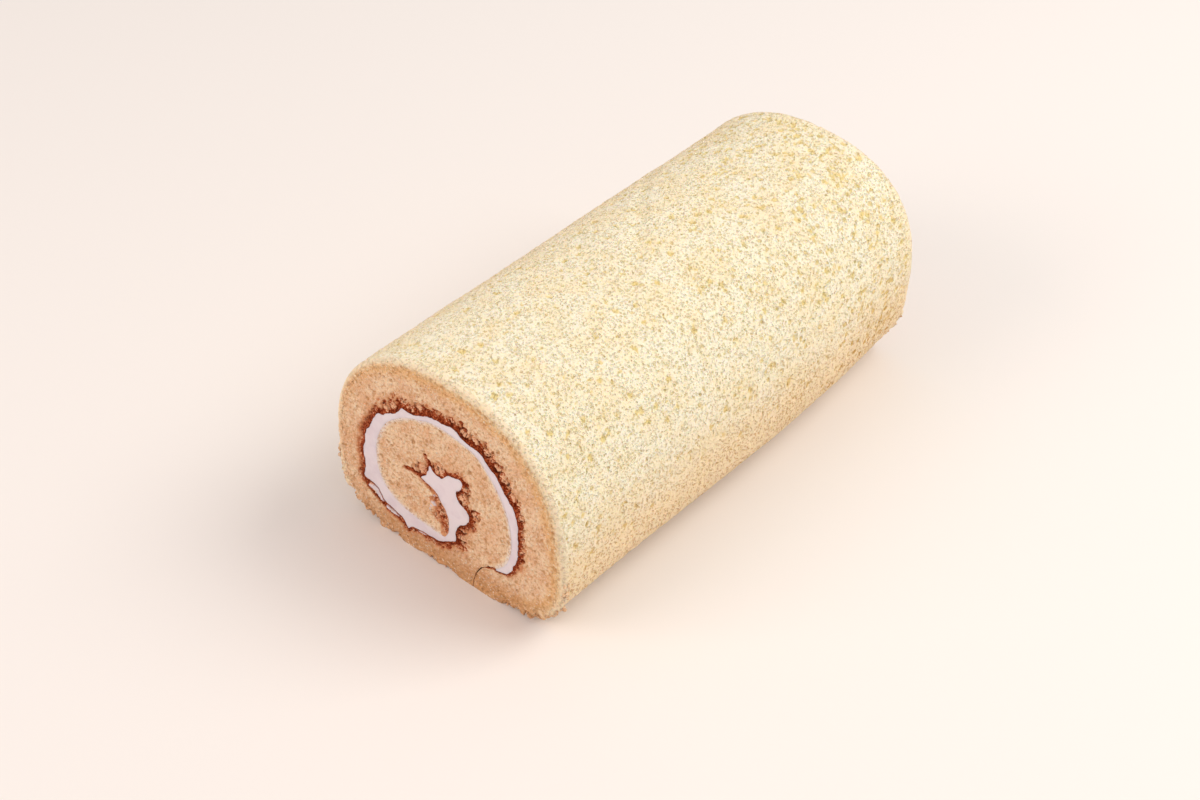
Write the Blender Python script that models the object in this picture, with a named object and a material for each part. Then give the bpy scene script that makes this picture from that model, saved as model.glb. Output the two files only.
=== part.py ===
"""A swiss roll cake: one sheet of sponge, browned on its inner side, rolled up round whipped cream.

Metres, with +Z up. The roll lies along Y on its flattened underside, and the origin is under its middle.
Both ends are cut off square, so the swirl shows at -Y and at +Y. A section is drawn in X and Z, as it
is seen from -Y, and swept along the roll.
"""

import math
import random

import bmesh
import bpy
import numpy as np
from mathutils import Vector, geometry

MM = 0.001

# The whole roll.
LENGTH = 180 * MM
HALF_WIDTH = 49 * MM
HEIGHT = 79.5 * MM
WAIST_HEIGHT = 28 * MM  # the level at which the sagging roll is widest
HEEL_DROP = 28.4 * MM  # waist to the lowest point of the round side, which the table cuts off flat
CROWN_LEAN = 3.5 * MM  # how far the crown leans towards +X

# How square each quarter of the outline is: 2 is an ellipse, and more is squarer.
CROWN_SQUARENESS = {"+X": 2.35, "-X": 2.28}
HEEL_SQUARENESS = {"+X": 2.8, "-X": 3.4}

# The swirl, in millimetres of X and Z. The browned inner side of the sheet runs from the end of the cream
# beside the outer lap, once round the roll and through the eye, to the fold of the sheet.
CRUST = (
    (20.4, 13.9), (23.8, 14.8), (26.0, 16.2), (27.3, 18.2), (28.0, 20.4), (29.0, 22.4), (29.8, 24.6),
    (30.1, 27.5), (30.4, 31.0), (30.5, 35.0), (30.7, 38.5), (30.3, 41.4), (29.5, 44.2), (28.1, 46.0),
    (26.5, 47.8), (24.9, 50.2), (23.4, 52.6), (22.0, 54.4), (20.0, 55.7), (18.6, 57.2), (17.0, 58.7),
    (14.2, 59.7), (11.6, 59.9), (9.0, 60.6), (6.8, 61.9), (4.4, 62.8), (2.0, 62.2), (-0.6, 61.9),
    (-3.6, 61.6), (-6.1, 60.8), (-8.9, 59.5), (-11.5, 58.3), (-14.1, 58.0), (-16.5, 58.0), (-17.9, 56.3),
    (-20.0, 54.2), (-23.0, 52.5), (-25.2, 50.7), (-28.0, 49.5), (-29.5, 47.3), (-31.1, 44.1),
    (-32.4, 41.3), (-33.8, 39.7), (-34.8, 36.3), (-35.1, 33.5), (-36.0, 31.3), (-36.1, 28.0),
    (-35.8, 24.5), (-36.3, 21.0), (-36.8, 18.5), (-33.6, 17.9), (-31.0, 17.1), (-29.4, 15.2),
    (-28.0, 12.9), (-25.2, 12.0), (-22.2, 11.1), (-19.9, 10.2), (-19.0, 8.6), (-18.2, 7.2), (-17.2, 8.4),
    (-15.2, 9.4), (-11.6, 10.0), (-7.5, 10.3), (-4.3, 10.6), (-1.5, 12.2), (0.9, 13.5), (2.9, 14.9),
    (3.5, 16.8), (3.4, 18.6), (4.4, 21.6), (5.9, 23.7), (7.9, 25.0), (9.5, 27.4), (9.8, 29.6),
    (8.9, 31.6), (6.1, 32.8), (4.9, 34.8), (5.1, 37.2), (6.8, 38.9), (8.1, 41.8), (6.8, 42.9),
    (4.0, 42.3), (1.6, 41.5), (-0.2, 39.5), (-2.4, 38.5), (-4.6, 39.5), (-6.0, 40.9), (-6.6, 38.7),
    (-7.9, 36.3),
)
FOLD = (-10.3, 33.9)
# The pale outer side of the sheet's inner turn, from the outer lap round to the tip of the sheet, and the
# sheet's inner end beside the pool of cream, from the fold down to that tip.
PALE = (
    (21.0, 14.9), (24.0, 17.9), (25.9, 21.2), (27.1, 24.8), (27.7, 28.5), (27.7, 32.5), (27.3, 36.5),
    (26.4, 40.5), (24.9, 44.4), (22.9, 48.1), (20.5, 51.5), (17.8, 54.6), (15.0, 57.0), (11.9, 58.3),
    (7.5, 59.1), (3.0, 59.7), (-1.5, 59.7), (-5.2, 59.2), (-8.2, 58.0), (-12.0, 56.6), (-16.0, 54.8),
    (-20.0, 51.9), (-23.8, 48.5), (-26.0, 45.4), (-27.8, 42.0), (-29.1, 38.6), (-29.9, 35.0),
    (-30.1, 31.0), (-29.9, 27.0), (-28.9, 23.4), (-26.9, 20.1), (-23.6, 17.4), (-19.5, 15.6),
    (-14.0, 14.6), (-8.0, 14.2), (-4.0, 13.8), (-1.3, 14.2),
)
INNER_END = (
    (-8.1, 33.0), (-5.3, 32.1), (-3.3, 30.7), (-2.3, 28.9), (-0.4, 26.5), (0.6, 23.8), (0.8, 20.6),
    (0.4, 17.2),
)

# The outer lap: the slit between the sheet's outer end and the turn under it, cream to underside.
LAP = ((18.6, 13.3), (16.2, 12.1), (14.2, 10.7), (12.6, 8.6), (11.4, 6.2), (10.6, 3.6), (10.2, 0.0))
LAP_GAP = 0.4 * MM

# A little air is left between the cream and the sponge.
FILLING_GAP = 0.3 * MM

# How far apart the points of a section stand.
CRUST_STEP = 1.6 * MM
PALE_STEP = 2.6 * MM
CROWN_STEP = 3.2 * MM
FOOT_STEP = 1.7 * MM
FOOT_TOP = 14 * MM  # below this level the outline has the closer spacing

# The cut ends: the soft edge is rounded off, and the knife leaves crags along the foot.
EDGE_ROUND = 1.6 * MM
EDGE_RINGS = 3
CRAG_REACH = 1.3 * MM
CRAG_TOP = 24 * MM

# The sheet isn't quite even: the roll sways and swells slowly along its length, and at +Y its heel on the
# +X side is tucked in further.
MIDDLE_RINGS = 5
SWAY = 0.7 * MM
SWELL = 0.008
HEEL_TUCK = 5.5 * MM
SEED = 7

# The cut faces are divided into triangles at this many units to the metre, since Blender's triangulation
# loses points that lie very close together.
FILL_SCALE = 1000.0

SPONGE_COLOUR = (0.86, 0.66, 0.42)
CREAM_COLOUR = (0.93, 0.91, 0.90)


def clear_scene():
    """Removes every object that the file opened with."""
    for obj in list(bpy.data.objects):
        bpy.data.objects.remove(obj)


def material(name, colour, roughness):
    """A plain finish for one piece."""
    made = bpy.data.materials.new(name)
    made.use_nodes = True
    shader = made.node_tree.nodes["Principled BSDF"]
    shader.inputs["Base Color"].default_value = (*colour, 1.0)
    shader.inputs["Roughness"].default_value = roughness
    shader.inputs["Metallic"].default_value = 0.0
    return made


def arc_lengths(points):
    """The distance along a line of points, from its start to each point."""
    steps = np.linalg.norm(np.diff(points, axis=0), axis=1)
    return np.concatenate([[0.0], np.cumsum(steps)])


def resampled(points, step):
    """The same line with points a step apart, or as near to that as divides it evenly."""
    along = arc_lengths(points)
    count = max(2, round(along[-1] / step) + 1)
    wanted = np.linspace(0.0, along[-1], count)
    return np.stack([np.interp(wanted, along, points[:, axis]) for axis in (0, 1)], axis=1)


def smooth_line(points, per_span=12):
    """A Catmull-Rom curve through the points, as a fine line."""
    points = np.asarray(points, float)
    padded = np.vstack([2 * points[0] - points[1], points, 2 * points[-1] - points[-2]])
    share = np.linspace(0.0, 1.0, per_span, endpoint=False)[:, None]
    line = []
    for a, b, c, d in zip(padded, padded[1:], padded[2:], padded[3:]):
        line.append(
            0.5 * (2 * b + (c - a) * share + (2 * a - 5 * b + 4 * c - d) * share**2
                   + (3 * b - a - 3 * c + d) * share**3)
        )
    return np.vstack([*line, points[-1:]])


def left_of(line):
    """The unit normal at each point of a line, on the left of its direction."""
    along = np.gradient(line, axis=0)
    along /= np.linalg.norm(along, axis=1)[:, None]
    return np.stack([-along[:, 1], along[:, 0]], axis=1)


def crust_edge():
    """The browned inner side of the sheet, from the outer lap round to the fold in the eye."""
    return resampled(smooth_line(np.array([*CRUST, FOLD]) * MM), CRUST_STEP)


def pale_edge():
    """The outer side of the sheet's inner turn, from the outer lap round to the tip of the sheet."""
    return resampled(smooth_line(np.array(PALE) * MM), PALE_STEP)


def inner_end_edge():
    """The sheet's inner end beside the pool of cream, from its tip up to the fold."""
    return resampled(smooth_line(np.array([PALE[-1], *reversed(INNER_END), FOLD]) * MM), PALE_STEP)


def quarter(squareness, drop, angles):
    """A quarter of the outline as distances from the waist's centre, at angles from the waist."""
    across = HALF_WIDTH * np.cos(angles) ** (2 / squareness)
    return across, drop * np.sin(angles) ** (2 / squareness)


def outline():
    """The outer side of the roll: from the lap under it, round by +X, the crown and -X, back to the lap."""
    angles = np.linspace(0.0, math.pi / 2, 90)
    crown = HEIGHT - WAIST_HEIGHT
    quarters = (
        (1, -1, quarter(HEEL_SQUARENESS["+X"], HEEL_DROP, angles[::-1])),
        (1, 1, quarter(CROWN_SQUARENESS["+X"], crown, angles)),
        (-1, 1, quarter(CROWN_SQUARENESS["-X"], crown, angles[::-1])),
        (-1, -1, quarter(HEEL_SQUARENESS["-X"], HEEL_DROP, angles)),
    )
    line = np.vstack([
        np.stack([side * across, WAIST_HEIGHT + up * height], axis=1)[:-1]
        for side, up, (across, height) in quarters
    ])
    rise = np.clip((line[:, 1] - WAIST_HEIGHT) / crown, 0.0, 1.0)
    line[:, 0] += CROWN_LEAN * rise**2
    line[:, 1] = np.maximum(line[:, 1], 0.0)
    lap = np.array(LAP[-1]) * MM
    start = np.nonzero(line[:, 0] > lap[0])[0][0]
    line = np.vstack([lap[None], line[start:], [[0.0, 0.0]], lap[None]])
    return closer_at_foot(line)


def closer_at_foot(line):
    """The outline resampled, with closer points near the table than over the crown."""
    fine = resampled(line, FOOT_STEP / 4)
    kept, last = [fine[0]], fine[0]
    for point in fine[1:]:
        step = FOOT_STEP if point[1] < FOOT_TOP else CROWN_STEP
        if np.linalg.norm(point - last) >= step:
            kept.append(point)
            last = point
    if np.linalg.norm(kept[-1] - fine[-1]) < FOOT_STEP / 2:
        kept.pop()
    return np.vstack([*kept, fine[-1]])


def lap_slit():
    """The two sides of the lap, each from the cream to the underside: the turn's side, and the flap's."""
    line = resampled(smooth_line(np.array([CRUST[0], *LAP]) * MM), PALE_STEP)[1:]
    aside = left_of(line) * LAP_GAP / 2
    turn_side, flap_side = line - aside, line + aside
    turn_side[-1, 1] = flap_side[-1, 1] = 0.0
    return turn_side, flap_side


def sponge_section():
    """The rolled sheet as one closed outline, and how many of its points lie on its outer side."""
    turn_side, flap_side = lap_slit()
    outer = outline()
    outer[0], outer[-1] = flap_side[-1], turn_side[-1]
    inner = [turn_side[-2::-1], pale_edge(), inner_end_edge()[1:], crust_edge()[-2::-1], flap_side[:-1]]
    return np.vstack([outer, *inner]), len(outer)


def cream_section():
    """The filling as one closed outline, a small gap inside the sponge all round."""
    line = np.vstack([pale_edge(), inner_end_edge()[1:], crust_edge()[-2::-1]])
    following, before = np.roll(line, -1, axis=0), np.roll(line, 1, axis=0)
    along = (following - before) / np.linalg.norm(following - before, axis=1)[:, None]
    inward = np.stack([along[:, 1], -along[:, 0]], axis=1)
    return line + inward * FILLING_GAP


def ring_levels():
    """How far along the roll each ring of points stands, and how much its edge is drawn in there."""
    rounds = np.linspace(0.0, math.pi / 2, EDGE_RINGS)
    ends = [(LENGTH / 2 - EDGE_ROUND * (1 - math.cos(a)), EDGE_ROUND * (1 - math.sin(a))) for a in rounds]
    middle = np.linspace(-1, 1, MIDDLE_RINGS + 2)[1:-1] * (LENGTH / 2 - EDGE_ROUND)
    near = [(-y, inset) for y, inset in ends]
    return near + [(y, 0.0) for y in middle] + ends[::-1]


def uneven(points, y):
    """Points of a section moved as the roll sways and swells, with its underside kept on the table."""
    turn = 2 * math.pi * y / LENGTH
    swell = SWELL * math.sin(turn + 0.6)
    x = points[:, 0] * (1 + swell) + SWAY * math.sin(0.5 * turn) * points[:, 1] / HEIGHT
    z = points[:, 1] * (1 - swell / 2 + SWELL * math.sin(2 * turn) / 3)
    outward = np.clip(points[:, 0] / HALF_WIDTH, 0.0, 1.0) ** 4
    low = np.clip(1 - points[:, 1] / HEIGHT, 0.0, 1.0)
    tuck = HEEL_TUCK * np.clip(2 * y / LENGTH, 0.0, 1.0) ** 2 * outward * low
    return np.stack([x - tuck, z + tuck / 2 * (points[:, 1] > 0)], axis=1)


def drawn_in(points, inset, crags):
    """The outer points of a ring moved in by the round of the cut edge, and out again by its crags."""
    inward = left_of(points)
    moved = points + inward * inset - inward * crags[:, None]
    moved[:, 1] = np.maximum(moved[:, 1], np.where(points[:, 1] < 0.1 * MM, inset / 2, 0.0))
    return moved


def crags_of(points, rng):
    """How far each outer point of a cut edge stands out, with crumbs dragged out along the foot."""
    height = points[:, 1]
    near_foot = np.clip((CRAG_TOP - height) / CRAG_TOP, 0.0, 1.0)
    rough = np.array([rng.random() ** 2 for _ in height])
    return CRAG_REACH * rough * near_foot * (height > 0.1 * MM)


def fill(mesh, ring):
    """Closes a ring of points at a cut end with triangles, which keep inside its outline."""
    flat = [Vector((vert.co.x, vert.co.z)) * FILL_SCALE for vert in ring]
    inside_only = 1
    triangles = geometry.delaunay_2d_cdt(flat, [], [list(range(len(flat)))], inside_only, 1e-5)[2]
    for corners in triangles:
        mesh.faces.new([ring[i] for i in corners])


def swept(name, section, outer_count, made_of):
    """A solid of the section swept along the roll, with its outer edges rounded at both cut ends."""
    rng = random.Random(SEED)
    levels = ring_levels()
    mesh = bmesh.new()
    rings = []
    for y, inset in levels:
        points = uneven(section, y)
        if outer_count:
            crags = crags_of(points[:outer_count], rng) * (inset > 0)
            points[:outer_count] = drawn_in(points[:outer_count], inset, crags)
        rings.append([mesh.verts.new((x, y, z)) for x, z in points])
    count = len(section)
    for near, far in zip(rings, rings[1:]):
        for i in range(count):
            j = (i + 1) % count
            mesh.faces.new((near[i], near[j], far[j], far[i]))
    for ring in (rings[0], rings[-1]):
        fill(mesh, ring)
    bmesh.ops.recalc_face_normals(mesh, faces=mesh.faces)
    data = bpy.data.meshes.new(name)
    mesh.to_mesh(data)
    mesh.free()
    data.materials.append(made_of)
    obj = bpy.data.objects.new(name, data)
    bpy.context.collection.objects.link(obj)
    data.shade_smooth()
    data.set_sharp_from_angle(angle=math.radians(40))
    return obj


def centre(objects):
    """Moves the pieces together so that the roll's box is centred over the origin."""
    corners = np.array([v.co for obj in objects for v in obj.data.vertices])
    middle = (corners.min(axis=0) + corners.max(axis=0)) / 2
    for obj in objects:
        for vertex in obj.data.vertices:
            vertex.co.x -= middle[0]
            vertex.co.y -= middle[1]


def main():
    """Builds the roll: the sponge, and the cream that runs through it."""
    clear_scene()
    section, outer_count = sponge_section()
    sponge = swept("sponge", section, outer_count, material("sponge", SPONGE_COLOUR, 0.9))
    cream = swept("cream", cream_section(), 0, material("cream", CREAM_COLOUR, 0.4))
    centre([sponge, cream])


if __name__ == "__main__":
    main()
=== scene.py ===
"""The looks of a swiss roll cake: pored pale skin, cut crumb, browned crust and whipped cream.

Metres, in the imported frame: the roll lies along Y on its underside, and the cut end that faces the camera
is at -Y. Every piece is first shaped on a straight roll, whose section is drawn in X and Z, and is then
bent with the roll's own sway, as the solids are.
"""

from __future__ import annotations

import logging
import math
import random
from collections.abc import Iterable, Sequence
from dataclasses import dataclass
from enum import Enum

import bmesh
import bpy
import numpy as np
from mathutils import Matrix, Vector, kdtree, noise

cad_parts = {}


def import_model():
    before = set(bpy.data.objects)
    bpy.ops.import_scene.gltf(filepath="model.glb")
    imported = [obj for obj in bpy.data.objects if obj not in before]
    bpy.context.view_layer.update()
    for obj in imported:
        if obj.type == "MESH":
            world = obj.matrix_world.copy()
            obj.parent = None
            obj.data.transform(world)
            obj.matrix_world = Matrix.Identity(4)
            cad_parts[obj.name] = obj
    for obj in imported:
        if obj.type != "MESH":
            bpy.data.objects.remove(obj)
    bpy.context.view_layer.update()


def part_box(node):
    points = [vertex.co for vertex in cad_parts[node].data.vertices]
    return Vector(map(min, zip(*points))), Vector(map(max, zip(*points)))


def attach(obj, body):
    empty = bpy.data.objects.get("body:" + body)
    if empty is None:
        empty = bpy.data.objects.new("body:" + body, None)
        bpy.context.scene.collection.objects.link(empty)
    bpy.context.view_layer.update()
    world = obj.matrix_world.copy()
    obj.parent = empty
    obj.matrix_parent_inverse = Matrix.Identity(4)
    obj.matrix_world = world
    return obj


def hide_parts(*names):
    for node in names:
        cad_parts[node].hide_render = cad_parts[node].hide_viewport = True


MM = 0.001
BODY = "root"
NOISE_SEED = 3  # unseeded, Blender starts its vector noise from the clock
END_TOLERANCE = 0.01 * MM  # how far from a cut end a point may lie and still be on it
SKIN_CLEARANCE = 0.02 * MM  # between the skin and the crumb under it
WHOLE_PORE = 0.4 * MM  # a hollow this deep has a pore's full colour
# What the cut faces store on their vertices, from 0 to 1, for the crumb's finish to read by name. The glow
# among them is painted light: the key light shining through the crumb.
CUT_MARKS = ("pore", "browning", "granule", "crack", "pale", "painted_glow", "cream")

log = logging.getLogger("swiss_roll")


class CutEnd(Enum):
    """The two cut ends of the roll, by the sign of Y."""

    NEAR = -1
    FAR = 1


class Slot(Enum):
    """The record's material slots."""

    SPONGE = "sponge"
    CREAM = "cream"


def arc_lengths(points: np.ndarray) -> np.ndarray:
    """The distance along a line of points, from its start to each point."""
    steps = np.linalg.norm(np.diff(points, axis=0), axis=1)
    return np.concatenate([[0.0], np.cumsum(steps)])


def resampled(points: np.ndarray, step: float) -> np.ndarray:
    """The same line with points a step apart, or as near to that as divides it evenly.

    Args:
        points: The line's points, in order.
        step: How far apart they are wanted.

    Returns:
        The new points.
    """
    along = arc_lengths(points)
    count = max(2, round(along[-1] / step) + 1)
    wanted = np.linspace(0.0, along[-1], count)
    return np.stack([np.interp(wanted, along, points[:, axis]) for axis in (0, 1)], axis=1)


def smooth_line(points: Sequence | np.ndarray, per_span: int = 12) -> np.ndarray:
    """A Catmull-Rom curve through the points.

    Args:
        points: The points that the curve passes through, in order.
        per_span: How many points the curve has between two of them.

    Returns:
        The curve as a fine line of points.
    """
    points = np.asarray(points, float)
    padded = np.vstack([2 * points[0] - points[1], points, 2 * points[-1] - points[-2]])
    share = np.linspace(0.0, 1.0, per_span, endpoint=False)[:, None]
    line = []
    for a, b, c, d in zip(padded, padded[1:], padded[2:], padded[3:]):
        line.append(
            0.5 * (2 * b + (c - a) * share + (2 * a - 5 * b + 4 * c - d) * share**2
                   + (3 * b - a - 3 * c + d) * share**3)
        )
    return np.vstack([*line, points[-1:]])


def left_of(line: np.ndarray) -> np.ndarray:
    """The unit normal at each point of a line, on the left of its direction.

    Args:
        line: The line's points, in order.

    Returns:
        One normal for each of them.
    """
    along = np.gradient(line, axis=0)
    along /= np.linalg.norm(along, axis=1)[:, None]
    return np.stack([-along[:, 1], along[:, 0]], axis=1)


def smoothstep(low: float, high: float, values: np.ndarray) -> np.ndarray:
    """Values eased from 0 at low to 1 at high."""
    share = np.clip((values - low) / (high - low), 0.0, 1.0)
    return share * share * (3 - 2 * share)


def noise_at(points: np.ndarray, cell: float, octaves: int = 1, seed: float = 0.0) -> np.ndarray:
    """Soft random values at points in space.

    Args:
        points: Points in metres, as an N by 3 array.
        cell: The size of the largest swell, in metres.
        octaves: How many finer swells are added, each half the size of the last.
        seed: Another number gives other values.

    Returns:
        A value of about -1 to 1 for each point.
    """
    moved = points / cell + np.array([17.3, 5.1, 29.7]) * seed
    return np.array([noise.fractal(point, 1.0, 2.0, octaves) for point in moved.tolist()])


def bowls(points: np.ndarray, centres: np.ndarray, radii: np.ndarray, depths: np.ndarray) -> np.ndarray:
    """How deep each point lies in a set of round hollows, the deepest one where some overlap.

    Args:
        points: Where the depth is wanted.
        centres: The hollows' middles.
        radii: Their radii.
        depths: How deep they are in the middle.

    Returns:
        The depth at each point, and 0 outside them all.
    """
    tree = kdtree.KDTree(len(points))
    for index, point in enumerate(points.tolist()):
        tree.insert(point, index)
    tree.balance()
    deep = [0.0] * len(points)
    for centre, radius, depth in zip(centres.tolist(), radii.tolist(), depths.tolist()):
        for _, index, distance in tree.find_range(centre, radius):
            deep[index] = max(deep[index], depth * (1 - (distance / radius) ** 2))
    return np.array(deep)


def stirred(points: np.ndarray, reach: float, cell: float) -> np.ndarray:
    """The points moved about by soft noise, so that what is drawn at them comes out irregular."""
    moves = np.array([noise.noise_vector(point) for point in (points / cell).tolist()])
    return points + moves * reach


def nearest(line: np.ndarray, points: np.ndarray) -> tuple[np.ndarray, np.ndarray]:
    """For each point of a plane, how far the line is and which of its points is nearest.

    Args:
        line: The line's points, in the plane.
        points: The points to start from.

    Returns:
        The distances, and the numbers of the nearest points.
    """
    tree = kdtree.KDTree(len(line))
    for index, (x, z) in enumerate(line.tolist()):
        tree.insert((x, z, 0.0), index)
    tree.balance()
    found = [tree.find((x, z, 0.0)) for x, z in points.tolist()]
    return np.array([f[2] for f in found]), np.array([f[1] for f in found])


def on_cut(points: np.ndarray, end: CutEnd, length: float) -> np.ndarray:
    """Which points of a straight bar lie on one of its cut ends."""
    return points[:, 1] * end.value > length / 2 - END_TOLERANCE


@dataclass
class RollForm:
    """The roll's section and the way it runs along Y, from its driving sizes."""

    length: float = 180 * MM
    half_width: float = 49 * MM
    height: float = 79.5 * MM
    waist_height: float = 28 * MM
    heel_drop: float = 28.4 * MM
    crown_lean: float = 3.5 * MM
    crown_squareness: tuple[float, float] = (2.35, 2.28)  # on the +X side, and on the -X side
    heel_squareness: tuple[float, float] = (2.8, 3.4)
    # Millimetres of X and Z: the browned side of the sheet, from the outer lap once round and through the eye
    # to the fold; the pale side of its inner turn, from the lap to the sheet's tip; and the sheet's inner end
    # beside the pool of cream, from the fold to the tip.
    crust: tuple[tuple[float, float], ...] = (
        (20.4, 13.9), (23.8, 14.8), (26.0, 16.2), (27.3, 18.2), (28.0, 20.4), (29.0, 22.4), (29.8, 24.6),
        (30.1, 27.5), (30.4, 31.0), (30.5, 35.0), (30.7, 38.5), (30.3, 41.4), (29.5, 44.2), (28.1, 46.0),
        (26.5, 47.8), (24.9, 50.2), (23.4, 52.6), (22.0, 54.4), (20.0, 55.7), (18.6, 57.2), (17.0, 58.7),
        (14.2, 59.7), (11.6, 59.9), (9.0, 60.6), (6.8, 61.9), (4.4, 62.8), (2.0, 62.2), (-0.6, 61.9),
        (-3.6, 61.6), (-6.1, 60.8), (-8.9, 59.5), (-11.5, 58.3), (-14.1, 58.0), (-16.5, 58.0), (-17.9, 56.3),
        (-20.0, 54.2), (-23.0, 52.5), (-25.2, 50.7), (-28.0, 49.5), (-29.5, 47.3), (-31.1, 44.1),
        (-32.4, 41.3), (-33.8, 39.7), (-34.8, 36.3), (-35.1, 33.5), (-36.0, 31.3), (-36.1, 28.0),
        (-35.8, 24.5), (-36.3, 21.0), (-36.8, 18.5), (-33.6, 17.9), (-31.0, 17.1), (-29.4, 15.2),
        (-28.0, 12.9), (-25.2, 12.0), (-22.2, 11.1), (-19.9, 10.2), (-19.0, 8.6), (-18.2, 7.2), (-17.2, 8.4),
        (-15.2, 9.4), (-11.6, 10.0), (-7.5, 10.3), (-4.3, 10.6), (-1.5, 12.2), (0.9, 13.5), (2.9, 14.9),
        (3.5, 16.8), (3.4, 18.6), (4.4, 21.6), (5.9, 23.7), (7.9, 25.0), (9.5, 27.4), (9.8, 29.6),
        (8.9, 31.6), (6.1, 32.8), (4.9, 34.8), (5.1, 37.2), (6.8, 38.9), (8.1, 41.8), (6.8, 42.9),
        (4.0, 42.3), (1.6, 41.5), (-0.2, 39.5), (-2.4, 38.5), (-4.6, 39.5), (-6.0, 40.9), (-6.6, 38.7),
        (-7.9, 36.3),
    )
    fold: tuple[float, float] = (-10.3, 33.9)
    pale: tuple[tuple[float, float], ...] = (
        (21.0, 14.9), (24.0, 17.9), (25.9, 21.2), (27.1, 24.8), (27.7, 28.5), (27.7, 32.5), (27.3, 36.5),
        (26.4, 40.5), (24.9, 44.4), (22.9, 48.1), (20.5, 51.5), (17.8, 54.6), (15.0, 57.0), (11.9, 58.3),
        (7.5, 59.1), (3.0, 59.7), (-1.5, 59.7), (-5.2, 59.2), (-8.2, 58.0), (-12.0, 56.6), (-16.0, 54.8),
        (-20.0, 51.9), (-23.8, 48.5), (-26.0, 45.4), (-27.8, 42.0), (-29.1, 38.6), (-29.9, 35.0),
        (-30.1, 31.0), (-29.9, 27.0), (-28.9, 23.4), (-26.9, 20.1), (-23.6, 17.4), (-19.5, 15.6),
        (-14.0, 14.6), (-8.0, 14.2), (-4.0, 13.8), (-1.3, 14.2),
    )
    inner_end: tuple[tuple[float, float], ...] = (
        (-8.1, 33.0), (-5.3, 32.1), (-3.3, 30.7), (-2.3, 28.9), (-0.4, 26.5), (0.6, 23.8), (0.8, 20.6),
        (0.4, 17.2),
    )
    lap: tuple[tuple[float, float], ...] = (
        (18.6, 13.3), (16.2, 12.1), (14.2, 10.7), (12.6, 8.6), (11.4, 6.2), (10.6, 3.6), (10.2, 0.0),
    )
    lap_gap: float = 0.4 * MM
    crumble: float = 0.3 * MM
    crumble_size: float = 1.5 * MM
    filling_gap: float = 0.3 * MM
    filling_step: float = 1.9 * MM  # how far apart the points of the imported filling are
    filling_rings: int = 41
    edge_round: float = 1.6 * MM
    sway: float = 0.7 * MM
    swell: float = 0.008
    heel_tuck: float = 5.5 * MM
    shift: float = 0.0  # along X, to the middle of the solids' own box
    walls: tuple[float, float] = (-1.0, 1.0)  # the sides of that box

    def crust_edge(self, step: float) -> np.ndarray:
        """The browned inner side of the sheet, from the outer lap round to the fold in the eye.

        Args:
            step: How far apart its points are.

        Returns:
            The line, crumbled a little by noise.
        """
        line = resampled(smooth_line(np.array([*self.crust, self.fold]) * MM), step)
        along = arc_lengths(line)
        fade = np.clip(np.minimum(along, along[-1] - along) / (3 * MM), 0.0, 1.0)
        rugged = noise_at(np.insert(line, 1, 0.0, axis=1), self.crumble_size, 2, seed=16)
        return line + left_of(line) * (self.crumble * rugged * fade)[:, None]

    def pale_edge(self, step: float) -> np.ndarray:
        """The outer side of the sheet's inner turn, from the outer lap round to the sheet's tip."""
        return resampled(smooth_line(np.array(self.pale) * MM), step)

    def inner_end_edge(self, step: float) -> np.ndarray:
        """The sheet's inner end beside the pool of cream, from its tip up to the fold."""
        bends = [self.pale[-1], *reversed(self.inner_end), self.fold]
        return resampled(smooth_line(np.array(bends) * MM), step)

    def outline(self, step: float, foot_step: float) -> np.ndarray:
        """The outer side of the roll, from the lap under it round by +X, the crown and -X, and back.

        Args:
            step: How far apart its points are.
            foot_step: How far apart they are on the flat underside.

        Returns:
            The points, which run anticlockwise as they are seen from -Y.
        """
        angles = np.linspace(0.0, math.pi / 2, 400)
        crown = self.height - self.waist_height
        parts = []
        for side, up, squareness, drop in (
            (1, -1, self.heel_squareness[0], self.heel_drop),
            (1, 1, self.crown_squareness[0], crown),
            (-1, 1, self.crown_squareness[1], crown),
            (-1, -1, self.heel_squareness[1], self.heel_drop),
        ):
            turned = angles if side == up else angles[::-1]
            across = side * self.half_width * np.cos(turned) ** (2 / squareness)
            level = self.waist_height + up * drop * np.sin(turned) ** (2 / squareness)
            parts.append(np.stack([across, level], axis=1)[:-1])
        line = np.vstack(parts)
        rise = np.clip((line[:, 1] - self.waist_height) / crown, 0.0, 1.0)
        line[:, 0] += self.crown_lean * rise**2
        line[:, 1] = np.maximum(line[:, 1], 0.0)
        middle = np.array(self.lap[-1]) * MM
        right, left = middle + [self.lap_gap / 2, 0.0], middle - [self.lap_gap / 2, 0.0]
        start = np.nonzero(line[:, 0] > right[0] + foot_step / 4)[0][0]
        line = np.vstack([right, line[start:], [[0.0, 0.0]], left])
        fine = resampled(line, step / 6)
        kept, last = [fine[0]], fine[0]
        for point in fine[1:]:
            spacing = foot_step if point[1] <= 0.0 else step
            if np.linalg.norm(point - last) >= spacing:
                kept.append(point)
                last = point
        if np.linalg.norm(kept[-1] - fine[-1]) < step:
            kept.pop()
        return np.vstack([*kept, fine[-1]])

    def lap_sides(self, step: float, lowest: float) -> tuple[np.ndarray, np.ndarray]:
        """The two sides of the lap's slit, from the cream down to a level: the turn's side and the flap's.

        Args:
            step: How far apart its points are.
            lowest: The level where they end.

        Returns:
            The turn's side and the flap's, each from the top down.
        """
        line = resampled(smooth_line(np.array([self.crust[0], *self.lap]) * MM), step)[1:]
        aside = left_of(line) * self.lap_gap / 2
        sides = []
        for side in (line - aside, line + aside):
            across = np.interp(lowest, side[::-1, 1], side[::-1, 0])
            sides.append(np.vstack([side[side[:, 1] > lowest + step / 3], [[across, lowest]]]))
        return sides[0], sides[1]

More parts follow.
